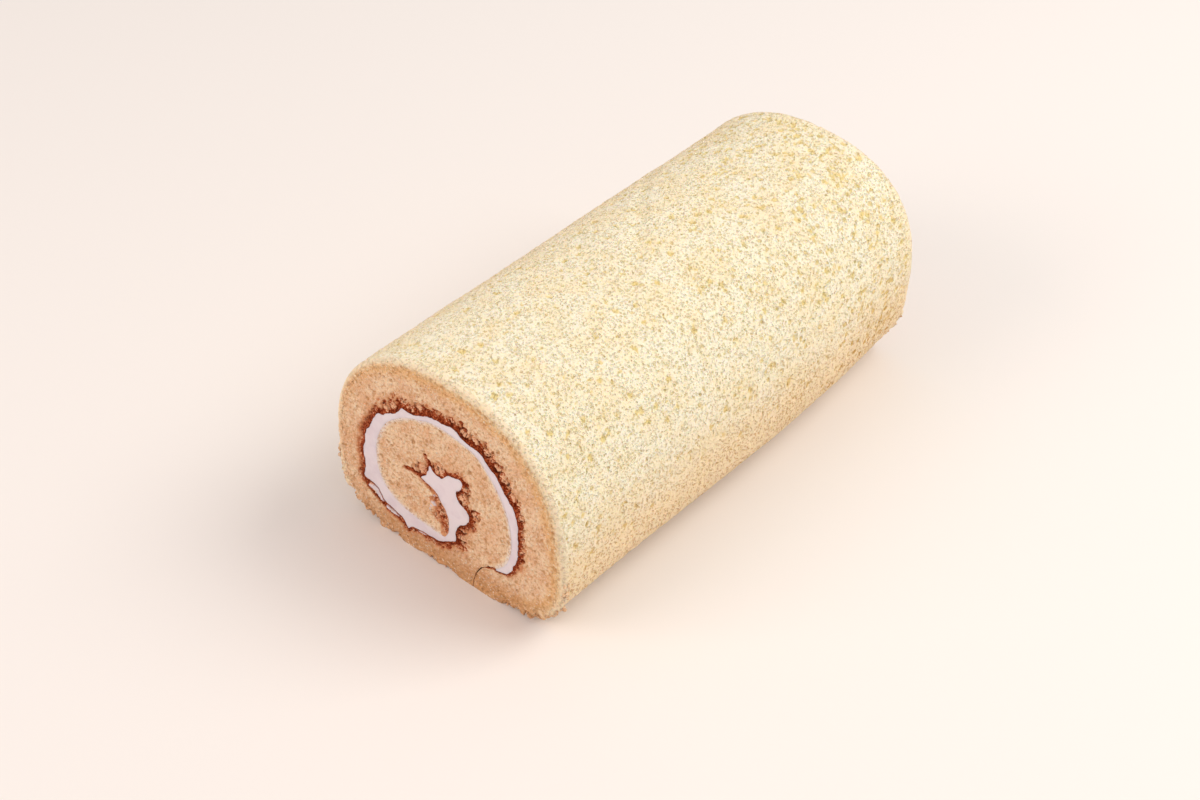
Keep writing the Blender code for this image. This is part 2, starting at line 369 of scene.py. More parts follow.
    def crumb_section(self, step: float, inset: float) -> np.ndarray:
        """The rolled sheet as one closed outline, with its outer side drawn in to make room for the skin.

        Args:
            step: How far apart its points are.
            inset: How far the outer side is drawn in.

        Returns:
            The outline.
        """
        turn_side, flap_side = self.lap_sides(step, inset)
        outer = self.outline(step, step * 3)
        outer = outer + left_of(outer) * inset
        outer[:, 1] = np.maximum(outer[:, 1], inset)
        clear = step / 2
        low = outer[:, 1] <= inset + clear
        in_slit = (outer[:, 0] > turn_side[-1, 0] - clear) & (outer[:, 0] < flap_side[-1, 0] + clear)
        outer = outer[~(low & in_slit)]
        return np.vstack([
            outer, turn_side[::-1], self.pale_edge(step), self.inner_end_edge(step)[1:],
            self.crust_edge(step)[-2::-1], flap_side,
        ])

    def cream_section(self, step: float, gap: float) -> np.ndarray:
        """The filling as one closed outline, a gap inside the sponge all round.

        Args:
            step: How far apart its points are.
            gap: The gap, below 0 to go into the sponge.

        Returns:
            The outline.
        """
        line = np.vstack([self.pale_edge(step), self.inner_end_edge(step)[1:], self.crust_edge(step)[-2::-1]])
        following, before = np.roll(line, -1, axis=0), np.roll(line, 1, axis=0)
        along = following - before
        along /= np.linalg.norm(along, axis=1)[:, None]
        inward = np.stack([along[:, 1], -along[:, 0]], axis=1)
        return line + inward * gap

    def bent(self, points: np.ndarray) -> np.ndarray:
        """Points of the straight roll where its sway, its swells and its tucked heel take them.

        Args:
            points: Points of the straight roll.

        Returns:
            The same points on the bent one.
        """
        x, y, z = points.T
        turn = 2 * math.pi * y / self.length
        swell = self.swell * np.sin(turn + 0.6)
        tuck = (
            self.heel_tuck * np.clip(2 * y / self.length, 0.0, 1.0) ** 2
            * np.clip(x / self.half_width, 0.0, 1.0) ** 4 * np.clip(1 - z / self.height, 0.0, 1.0)
        )
        across = x * (1 + swell) + self.sway * np.sin(0.5 * turn) * z / self.height - tuck
        level = z * (1 - swell / 2 + self.swell * np.sin(2 * turn) / 3) + tuck / 2 * (z > 0)
        return np.stack([np.clip(across + self.shift, *self.walls), y, level], axis=1)

    def kept_inside(self, points: np.ndarray) -> np.ndarray:
        """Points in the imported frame, with those beyond the roll's box moved to its sides."""
        low = [self.walls[0], -self.length / 2, 0.0]
        return np.clip(points, low, [self.walls[1], self.length / 2, self.height])

    def centre_on(self, low: Vector, high: Vector) -> None:
        """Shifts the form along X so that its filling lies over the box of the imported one.

        Args:
            low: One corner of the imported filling's box.
            high: The other corner.
        """
        section = self.cream_section(self.filling_step, self.filling_gap)
        stations = np.linspace(-0.5, 0.5, self.filling_rings) * self.length
        rings = [np.insert(section, 1, y, axis=1) for y in stations]
        across = self.bent(np.vstack(rings))[:, 0]
        self.shift += (low.x + high.x) / 2 - (across.min() + across.max()) / 2


@dataclass
class CutFace:
    """What the knife leaves at the cut ends: pores, dragged crumb, and the broken crust beside the cream."""

    form: RollForm
    base_depth: float = 0.12 * MM
    drag_depth: float = 0.45 * MM
    drag_size: float = 1.2 * MM
    fine_pores: int = 2400
    large_pores: int = 190
    granule: float = 1.8 * MM
    granule_depth: float = 0.6 * MM
    crack_depth: float = 0.5 * MM
    # Along the crust, at X and Z in millimetres: how wide its browning is, how softly it fades, and how many
    # loose flakes lie beyond it.
    band: tuple[tuple[float, float, float, float, float], ...] = (
        (20.4, 13.9, 0.7, 0.0, 0.0), (26.0, 16.2, 1.7, 0.3, 0.3), (29.0, 22.4, 2.2, 0.2, 0.5),
        (30.4, 31.0, 2.1, 0.2, 0.9), (30.7, 38.5, 2.1, 0.0, 1.0), (28.1, 46.0, 3.2, 0.0, 1.0),
        (24.9, 50.2, 4.2, 0.0, 1.0), (20.0, 55.7, 4.6, 0.0, 1.0), (14.2, 59.7, 4.2, 0.0, 1.0),
        (9.0, 60.6, 4.0, 0.0, 1.0), (2.0, 62.2, 3.6, 0.1, 0.9), (-6.1, 60.8, 3.5, 0.1, 0.7),
        (-14.1, 58.0, 3.6, 0.0, 0.8), (-20.0, 54.2, 4.0, 0.0, 0.8), (-28.0, 49.5, 3.2, 0.3, 0.4),
        (-32.4, 41.3, 3.4, 0.9, 0.0), (-36.1, 28.0, 3.5, 1.0, 0.0), (-36.3, 21.0, 3.0, 0.9, 0.0),
        (-36.8, 18.5, 2.8, 0.0, 0.2), (-31.0, 17.1, 2.3, 0.0, 0.1), (-28.0, 12.9, 2.4, 0.0, 0.1),
        (-22.2, 11.1, 3.0, 0.0, 0.2), (-18.2, 7.2, 2.4, 0.0, 0.1), (-11.6, 10.0, 3.0, 0.1, 0.2),
        (-4.3, 10.6, 3.2, 0.2, 0.2), (0.9, 13.5, 3.2, 0.1, 0.2), (3.5, 16.8, 4.2, 0.0, 0.6),
        (7.9, 25.0, 3.2, 0.0, 0.5), (9.8, 29.6, 2.5, 0.0, 0.6), (6.1, 32.8, 1.6, 0.0, 0.2),
        (8.1, 41.8, 2.3, 0.0, 0.3), (1.6, 41.5, 1.9, 0.0, 0.3), (-4.6, 39.5, 1.6, 0.0, 0.2),
        (-7.9, 36.3, 2.3, 0.0, 0.3), (-10.3, 33.9, 1.6, 0.1, 0.3),
    )
    # Where the crust has folded into round lumps: X, Z and radius in millimetres.
    lumps: tuple[tuple[float, float, float], ...] = (
        (-2.1, 41.6, 2.8), (-9.4, 38.0, 2.6), (-12.6, 35.7, 1.7), (7.6, 35.7, 2.6), (9.0, 39.6, 2.0),
        (12.5, 31.4, 1.9), (5.6, 17.6, 1.9), (6.2, 21.4, 1.6), (28.8, 49.0, 1.9), (25.6, 54.6, 2.3),
        (22.9, 57.2, 1.8), (18.6, 60.7, 1.8), (14.0, 63.0, 1.8), (9.6, 63.1, 1.9), (4.6, 65.2, 1.5),
        (-9.2, 62.3, 1.8), (-12.4, 60.4, 1.6), (-16.3, 60.0, 1.3), (-20.8, 56.6, 1.9), (-24.0, 53.9, 1.6),
        (32.2, 42.6, 1.4), (31.8, 28.4, 1.3), (-34.4, 16.4, 1.5),
    )
    # Seams where crust lies folded on crust: the width at the start, and bends in X and Z, in millimetres.
    seams: tuple[tuple[float, tuple[tuple[float, float], ...]], ...] = (
        (1.6, ((-10.3, 33.9), (-12.6, 34.3), (-15.0, 34.1), (-17.6, 33.3))),
        (1.5, ((-37.8, 17.4), (-36.4, 14.6), (-33.4, 12.6), (-30.4, 11.0), (-28.2, 10.3))),
        (1.2, ((-28.4, 9.9), (-25.4, 8.6), (-22.0, 8.3), (-19.0, 7.0))),
        (1.0, ((10.0, 31.6), (12.0, 33.2), (14.2, 33.6))),
        (1.0, ((-5.8, 41.0), (-7.4, 42.6), (-8.6, 44.0))),
        (0.6, ((19.8, 13.8), (17.6, 12.8), (15.6, 11.6))),
    )
    # Cream that the knife carried along, in millimetres: streaks as bends of X, Z and width, and specks.
    streaks: tuple[tuple[tuple[float, float, float], ...], ...] = (
        ((-35.4, 15.2, 0.8), (-33.6, 15.4, 1.6), (-31.9, 15.4, 2.2), (-30.7, 13.9, 1.7), (-29.4, 12.1, 0.8)),
        ((-27.6, 10.5, 0.8), (-25.4, 9.9, 1.3), (-23.6, 9.8, 1.1), (-22.2, 9.5, 0.5)),
        ((-13.4, 8.9, 0.4), (-11.6, 9.2, 0.5), (-10.2, 9.2, 0.4)),
    )
    specks: tuple[tuple[float, float, float], ...] = (
        (-5.7, 25.6, 1.7), (-6.8, 24.0, 1.0), (-7.4, 22.4, 0.8), (-5.2, 29.0, 0.8), (-31.2, 18.6, 0.8),
    )
    # Along the sheet's inner end from its tip to the fold: how wide and how strong its browning is.
    end_band: tuple[tuple[float, float, float], ...] = (
        (0.0, 2.2, 0.55), (0.12, 5.4, 0.75), (0.26, 7.8, 0.85), (0.4, 8.6, 0.85), (0.52, 7.2, 0.85),
        (0.64, 4.8, 0.85), (0.75, 2.6, 0.9), (1.0, 1.4, 0.95),
    )
    pale_band: float = 3.0 * MM
    painted_glow_reach: float = 9 * MM
    line_step: float = 0.3 * MM  # of the lines that distances are measured to
    mark_step: float = 0.1 * MM  # of the lines of the streaks and the seams
    ragged_size: float = 2.4 * MM
    grain_size: float = 0.9 * MM
    flake_size: float = 1.5 * MM
    # The pores' least and greatest radii, in millimetres.
    fine_radii: tuple[float, float] = (0.35, 0.6)
    large_radii: tuple[float, float] = (0.6, 1.1)
    ends_apart: float = 22 * MM  # how far apart the noise of the two ends is read

    def pores(self, end: CutEnd) -> tuple[np.ndarray, np.ndarray, np.ndarray]:
        """The pores of one cut face: their middles as X, 0, Z, their radii and their depths.

        Args:
            end: Which of the two cuts it is.

        Returns:
            Their middles, radii and depths.
        """
        rng = np.random.default_rng(40 + end.value)
        count = self.fine_pores + self.large_pores
        middle = np.stack([
            rng.uniform(-50, 50, count) * MM, np.zeros(count), rng.uniform(0, 82, count) * MM,
        ], axis=1)
        radius = np.concatenate([
            rng.uniform(*self.fine_radii, self.fine_pores), rng.uniform(*self.large_radii, self.large_pores),
        ]) * MM
        depth = radius * rng.uniform(0.4, 0.75, count)
        return middle, radius, depth

    def marks(self, points: np.ndarray, end: CutEnd) -> dict[str, np.ndarray]:
        """How deep the face lies at points of the straight roll, and what there is to see there.

        Args:
            points: Points of the cut face, as an N by 3 array in metres.
            end: Which cut end they are on.

        Returns:
            The depth in metres, and pore, browning, granule, crack, pale, the painted glow of light through
            the crumb, and cream from 0 to 1.
        """
        flat = points * [1.0, 0.0, 1.0]
        in_plane = flat + [0.0, end.value * self.ends_apart / 2, 0.0]
        hollow = bowls(stirred(flat, 0.5 * MM, 0.9 * MM), *self.pores(end))
        plane = points[:, [0, 2]]
        ragged = noise_at(in_plane, self.ragged_size, 4, seed=3)
        grain = noise_at(in_plane, self.grain_size, 2, seed=5)
        to_pale, _ = nearest(self.form.pale_edge(self.line_step), plane)
        browning, rim_line, core = self.browned(in_plane, plane, to_pale, ragged)
        inside, edge = self.knots(plane, ragged)
        browning = np.maximum.reduce([browning, 0.95 * inside, 0.85 * edge])
        granule, crack = self.granules(in_plane, browning, grain - 0.7 * core * (1 - inside) - 0.15 * inside)
        crack = np.maximum.reduce([crack, rim_line, 0.9 * edge])
        cream = self.carried_cream(plane, ragged)
        to_cream, _ = nearest(self.form.cream_section(self.line_step, 0.0), plane)
        pale = 1 - np.clip(to_pale / self.pale_band + 0.15 * ragged, 0.0, 1.0)
        relief = (
            self.base_depth + self.drag_depth * (0.5 + noise_at(in_plane, self.drag_size, 3, seed=1))
            + hollow * (1 - 0.6 * browning)
            + smoothstep(0.3, 0.8, browning) * self.granule_depth * (1 - granule) + self.crack_depth * crack
        )
        beside_cream = 0.15 + 0.85 * smoothstep(0.2 * MM, 1.8 * MM, to_cream)
        return {
            "depth": np.clip(relief - 0.3 * MM * inside, 0.0, None) * (1 - 0.8 * cream) * beside_cream,
            "pore": np.clip(hollow / WHOLE_PORE, 0.0, 1.0),
            "browning": browning,
            "granule": np.clip(granule * (1 - 0.5 * core) + 0.2 * (1 - core) + 0.5 * inside, 0.0, 1.0),
            "crack": crack,
            "pale": pale * (1 - smoothstep(0.05, 0.3, browning)),
            "painted_glow": self.painted_glow(plane, ragged),
            "cream": cream,
        }

    def painted_glow(self, plane: np.ndarray, ragged: np.ndarray) -> np.ndarray:
        """How much painted glow each point gets, the key light shining through the thin crumb under the skin:
        most of all close under the skin, high up on the lit +X side.

        Args:
            plane: The points, as X and Z.
            ragged: Noise that breaks up the edges, one value for each point.

        Returns:
            The share of the painted glow, from 0 to 1.
        """
        to_outline, _ = nearest(self.form.outline(0.6 * MM, 0.6 * MM), plane)
        near_skin = 1 - np.clip(to_outline / self.painted_glow_reach + 0.15 * ragged, 0.0, 1.0)
        side, rise = plane[:, 0] / self.form.half_width, plane[:, 1] / self.form.waist_height - 1
        # Painted light: stronger on the lit +X side and higher up.
        return near_skin * np.clip(0.55 + 0.4 * side + rise / 6, 0.0, 1.0)

    def carried_cream(self, plane: np.ndarray, ragged: np.ndarray) -> np.ndarray:
        """How much carried cream covers each point, from 0 to 1.

        Args:
            plane: The points, as X and Z.
            ragged: Noise that breaks up the edges, one value for each point.

        Returns:
            The share of cream.
        """
        out = np.full(len(plane), 9.0)
        for streak in self.streaks:
            bends = np.array(streak)
            line = resampled(bends[:, :2] * MM, self.mark_step)
            to_line, index = nearest(line, plane)
            along = arc_lengths(bends[:, :2])
            width = np.interp(index / (len(line) - 1), along / along[-1], bends[:, 2]) * MM
            out = np.minimum(out, to_line / (width / 2))
        for x, z, size in self.specks:
            out = np.minimum(out, np.linalg.norm(plane / MM - [x, z], axis=1) / (size / 2))
        return 1 - smoothstep(0.8, 1.25, out + 0.6 * ragged)

    def browned(
        self, in_plane: np.ndarray, plane: np.ndarray, to_pale: np.ndarray, ragged: np.ndarray,
    ) -> tuple[np.ndarray, np.ndarray, np.ndarray]:
        """How brown the cut is at points, and where its darkest parts are.

        Args:
            in_plane: The points, set apart for the two ends, for the noise.
            plane: The same points' X and Z.
            to_pale: How far each is from the pale side of the sheet.
            ragged: Soft random values at the points.

        Returns:
            The browning, the thin dark line between crust and cream, and the crust's dense core beside it,
            all from 0 to 1.
        """
        crust_line = self.form.crust_edge(self.line_step)
        end_line = self.form.inner_end_edge(self.line_step)
        to_crust, crust_index = nearest(crust_line, plane)
        to_end, end_index = nearest(end_line, plane)
        band = np.array(self.band)
        _, stations = nearest(crust_line, band[:, :2] * MM)
        width, soft, flakes = (np.interp(crust_index, stations, column) for column in band[:, 2:].T)
        out = to_crust / (width * MM)
        broken = noise_at(in_plane, self.flake_size, 2, seed=9)
        torn = 1 - smoothstep(0.78, 1.08, out + 0.5 * ragged)
        torn *= 1 - 0.8 * smoothstep(0.15, 0.4, broken) * smoothstep(0.3, 0.75, out)
        faded = 0.95 * (1 - smoothstep(0.1, 1.35, out + 0.2 * ragged)) ** 0.8
        browning = torn + (faded - torn) * soft
        halo = 0.3 * (1 - smoothstep(0.6, 1.9, out + 0.3 * ragged))
        loose_flakes = 0.8 * smoothstep(0.22, 0.36, ragged) * flakes * (1 - smoothstep(1.25, 1.8, out))
        browning = np.maximum.reduce([browning, halo, loose_flakes])
        by_crust = (to_crust < to_pale) & (to_crust < to_end + 0.3 * MM)
        way = end_index / (len(end_line) - 1)
        end_brown = self.end_browned(way, to_end, broken, ragged)
        by_end = (to_end < to_crust + 0.3 * MM) & (to_end < to_pale + 1.2 * MM)
        line = (1 - smoothstep(0.15, 0.6, np.minimum(to_crust, to_end) / MM)) * smoothstep(-0.5, 0.4, ragged)
        line *= by_crust | (by_end & (way > 0.6))
        seam = self.seamed(plane, ragged)
        core = np.maximum((1 - smoothstep(0.2, 0.7, out + 0.3 * ragged)) * by_crust, 0.7 * seam)
        return np.maximum.reduce([browning * by_crust, end_brown * by_end, seam]), 0.6 * line, core

    def end_browned(
        self, way: np.ndarray, to_end: np.ndarray, broken: np.ndarray, ragged: np.ndarray,
    ) -> np.ndarray:
        """How brown the sheet's inner end is at points, in speckles.

        Args:
            way: How far along the end each point lies, from 0 at its tip to 1 at the fold.
            to_end: How far it is from the end's edge.
            broken: Random values that break the browning up.
            ragged: Random values that move its border.

        Returns:
            The browning from 0 to 1.
        """
        stations, widths, strengths = np.array(self.end_band).T
        out = to_end / (np.interp(way, stations, widths) * MM)
        speckled = 0.55 + 0.45 * smoothstep(-0.4, 0.1, broken + 0.5 * ragged)
        brown = np.interp(way, stations, strengths) * speckled
        return brown * (1 - smoothstep(0.65, 1.15, out + 0.45 * ragged))

    def seamed(self, plane: np.ndarray, ragged: np.ndarray) -> np.ndarray:
        """How much of a seam there is at each point, from 0 to 1.

        Args:
            plane: The points, as X and Z.
            ragged: Noise that breaks up the edges, one value for each point.

        Returns:
            The share of the deepest seam there.
        """
        seam = np.zeros(len(plane))
        for width, bends in self.seams:
            line = resampled(np.array(bends) * MM, self.mark_step)
            to_seam, index = nearest(line, plane)
            taper = width * MM * (1 - 0.5 * index / len(line))
            seam = np.maximum(seam, 0.95 * (1 - smoothstep(0.6, 1.0, to_seam / taper + 0.3 * ragged)))
        return seam

    def knots(self, plane: np.ndarray, ragged: np.ndarray) -> tuple[np.ndarray, np.ndarray]:
        """How far inside one of the crust's lumps each point is, and how near to a lump's dark edge.

        Args:
            plane: The points, as X and Z.
            ragged: Noise that breaks up the edges, one value for each point.

        Returns:
            Both as shares, from 0 to 1.
        """
        inside, edge = np.zeros(len(plane)), np.zeros(len(plane))
        for x, z, radius in self.lumps:
            away = np.linalg.norm(plane / MM - [x, z], axis=1) / radius * (1 + 0.3 * ragged)
            inside = np.maximum(inside, 1 - smoothstep(0.5, 0.9, away))
            edge = np.maximum(edge, 1 - smoothstep(0.05, 0.25, np.abs(away - 1.0)))
        return inside, edge * (1 - inside) * smoothstep(-0.35, 0.2, ragged)

    def granules(
        self, points: np.ndarray, browning: np.ndarray, grain: np.ndarray,
    ) -> tuple[np.ndarray, np.ndarray]:
        """How far up a grain of the crust each point is, and whether it is in a crack between grains.

        Args:
            points: The points in space.
            browning: How browned each of them is.
            grain: Fine noise, one value for each of them.

        Returns:
            Both as shares, from 0 to 1.
        """
        up, crack = np.full(len(points), 0.5), np.zeros(len(points))
        for i in np.nonzero(browning > 0.1)[0].tolist():
            gaps, _ = noise.voronoi(Vector(points[i] / self.granule))
            up[i] = max(0.0, 1 - gaps[0] / 0.75)
            crack[i] = 1 - min(1.0, (gaps[1] - gaps[0]) / 0.26)
        open_here = smoothstep(-0.05, 0.2, grain) * smoothstep(0.4, 0.75, browning)
        return np.clip(up + 0.35 * grain, 0.0, 1.0), crack * open_here


def only(obj: bpy.types.Object) -> None:
    """Leaves one object selected and active.

    Args:
        obj: The object.
    """
    bpy.ops.object.select_all(action="DESELECT")
    obj.select_set(True)
    bpy.context.view_layer.objects.active = obj


def places(obj: bpy.types.Object) -> np.ndarray:
    """The object's vertices as an N by 3 array.

    Args:
        obj: The object, a mesh.

    Returns:
        Its vertices in its own coordinates.
    """
    co = np.empty(len(obj.data.vertices) * 3)
    obj.data.vertices.foreach_get("co", co)
    return co.reshape(-1, 3)


def put(obj: bpy.types.Object, points: np.ndarray) -> None:
    """Moves the object's vertices to points."""
    obj.data.vertices.foreach_set("co", np.ascontiguousarray(points, float).ravel())
    obj.data.update()


def paint(obj: bpy.types.Object, name: str, values: np.ndarray) -> None:
    """Stores a value for each vertex, which the finishes read by its name."""
    layer = obj.data.attributes.new(name, "FLOAT", "POINT")
    layer.data.foreach_set("value", np.ascontiguousarray(values, np.float32))


def outwards() -> None:
    """In edit mode, turns every face of the active piece outwards."""
    bpy.ops.mesh.select_all(action="SELECT")
    bpy.ops.mesh.normals_make_consistent(inside=False)


def prism(section: np.ndarray, length: float) -> bpy.types.Object:
    """A straight bar of the section, centred along Y.

    Args:
        section: The section's outline, as X and Z.
        length: The bar's length.

    Returns:
        The bar.
    """
    bpy.ops.object.select_all(action="DESELECT")
    bpy.ops.mesh.primitive_circle_add(vertices=len(section), fill_type="NOTHING")
    bar = bpy.context.object
    put(bar, np.insert(section, 1, -length / 2, axis=1))
    bpy.ops.object.mode_set(mode="EDIT")
    bpy.ops.mesh.select_all(action="SELECT")
    bpy.ops.mesh.edge_face_add()
    bpy.ops.mesh.extrude_region_move(TRANSFORM_OT_translate={"value": (0.0, length, 0.0)})
    outwards()
    bpy.ops.object.mode_set(mode="OBJECT")
    return bar


def fine_ended(name: str, section: np.ndarray, length: float, cell: float, rings: int) -> bpy.types.Object:
    """A straight bar of the section whose two ends are finely divided, for relief.

    Args:
        name: The piece's name.
        section: Its closed outline in X and Z.
        length: Its length along Y.
        cell: The size of the faces of its ends.
        rings: How many times its sides are cut across between the ends.

    Returns:
        The piece, as one closed body.
    """
    cutter = prism(section, length * 1.1)
    low, high = section.min(axis=0) - cell, section.max(axis=0) + cell
    span, middle = high - low, (low + high) / 2
    bpy.ops.object.select_all(action="DESELECT")
    bpy.ops.mesh.primitive_grid_add(
        x_subdivisions=round(span[0] / cell), y_subdivisions=round(span[1] / cell), size=1.0,
        rotation=(math.pi / 2, 0.0, 0.0), location=(middle[0], -length / 2, middle[1]),
    )
    block = bpy.context.object
    block.name = name
    block.scale = (span[0], span[1], 1.0)
    bpy.ops.object.transform_apply(location=True, rotation=True, scale=True)
    bpy.ops.object.mode_set(mode="EDIT")
    bpy.ops.mesh.select_all(action="SELECT")
    bpy.ops.mesh.extrude_region_move(TRANSFORM_OT_translate={"value": (0.0, length, 0.0)})
    outwards()
    bpy.ops.object.mode_set(mode="OBJECT")
    cut = block.modifiers.new("cut", "BOOLEAN")
    cut.operation = "INTERSECT"
    cut.solver = "MANIFOLD"
    cut.object = cutter
    only(block)
    bpy.ops.object.modifier_apply(modifier=cut.name)
    bpy.data.objects.remove(cutter)
    bpy.ops.object.mode_set(mode="EDIT")
    for y in np.linspace(-0.5, 0.5, rings + 2)[1:-1] * length:
        bpy.ops.mesh.select_all(action="SELECT")
        bpy.ops.mesh.bisect(plane_co=(0.0, y, 0.0), plane_no=(0.0, 1.0, 0.0))
    bpy.ops.object.mode_set(mode="OBJECT")
    return block


def smooth_shaded(obj: bpy.types.Object, angle: float) -> None:
    """Shades a piece smooth, with an edge where its faces meet more sharply than the angle in degrees."""
    only(obj)
    bpy.ops.object.shade_smooth_by_angle(angle=math.radians(angle))


class RollPiece:
    """What every piece of the roll has: a mesh that it builds, and a finish that it is dressed in."""

    slot = Slot.SPONGE

    def build(self) -> bpy.types.Object:
        """Makes the mesh, which each kind of piece does in its own way."""
        raise NotImplementedError

    def dressed(self, finish: bpy.types.Material) -> bpy.types.Object:
        """Builds the piece, and gives it its one finish and its place on the roll's body.

        Args:
            finish: The finish.

        Returns:
            The piece.
        """
        piece = self.build()
        piece.data.materials.clear()
        piece.data.materials.append(finish)
        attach(piece, BODY)
        triangles = sum(len(face.vertices) - 2 for face in piece.data.polygons)
        log.info("%s: %d triangles, %s", piece.name, triangles, finish.name)
        return piece


@dataclass
class CutCrumb(RollPiece):
    """The rolled sheet inside its skin: the crumb that shows at both cut ends, with its browned crust."""

    form: RollForm
    face: CutFace
    inset: float
    step: float = 0.55 * MM
    cell: float = 0.37 * MM
    rings: int = 7

    def build(self) -> bpy.types.Object:
        """Makes the crumb.

        Returns:
            The piece, with the marks of its cut faces stored on its vertices.
        """
        section = self.form.crumb_section(self.step, self.inset)
        crumb = fine_ended("sponge_crumb", section, self.form.length, self.cell, self.rings)
        points = places(crumb)
        found = {name: np.zeros(len(points)) for name in CUT_MARKS}
        for end in CutEnd:
            on_end = on_cut(points, end, self.form.length)
            marks = self.face.marks(points[on_end], end)
            for name in found:
                found[name][on_end] = marks[name]
            points[on_end, 1] -= end.value * marks["depth"]
        put(crumb, self.form.bent(points))
        for name, values in found.items():
            paint(crumb, name, values)
        smooth_shaded(crumb, 65)
        return crumb


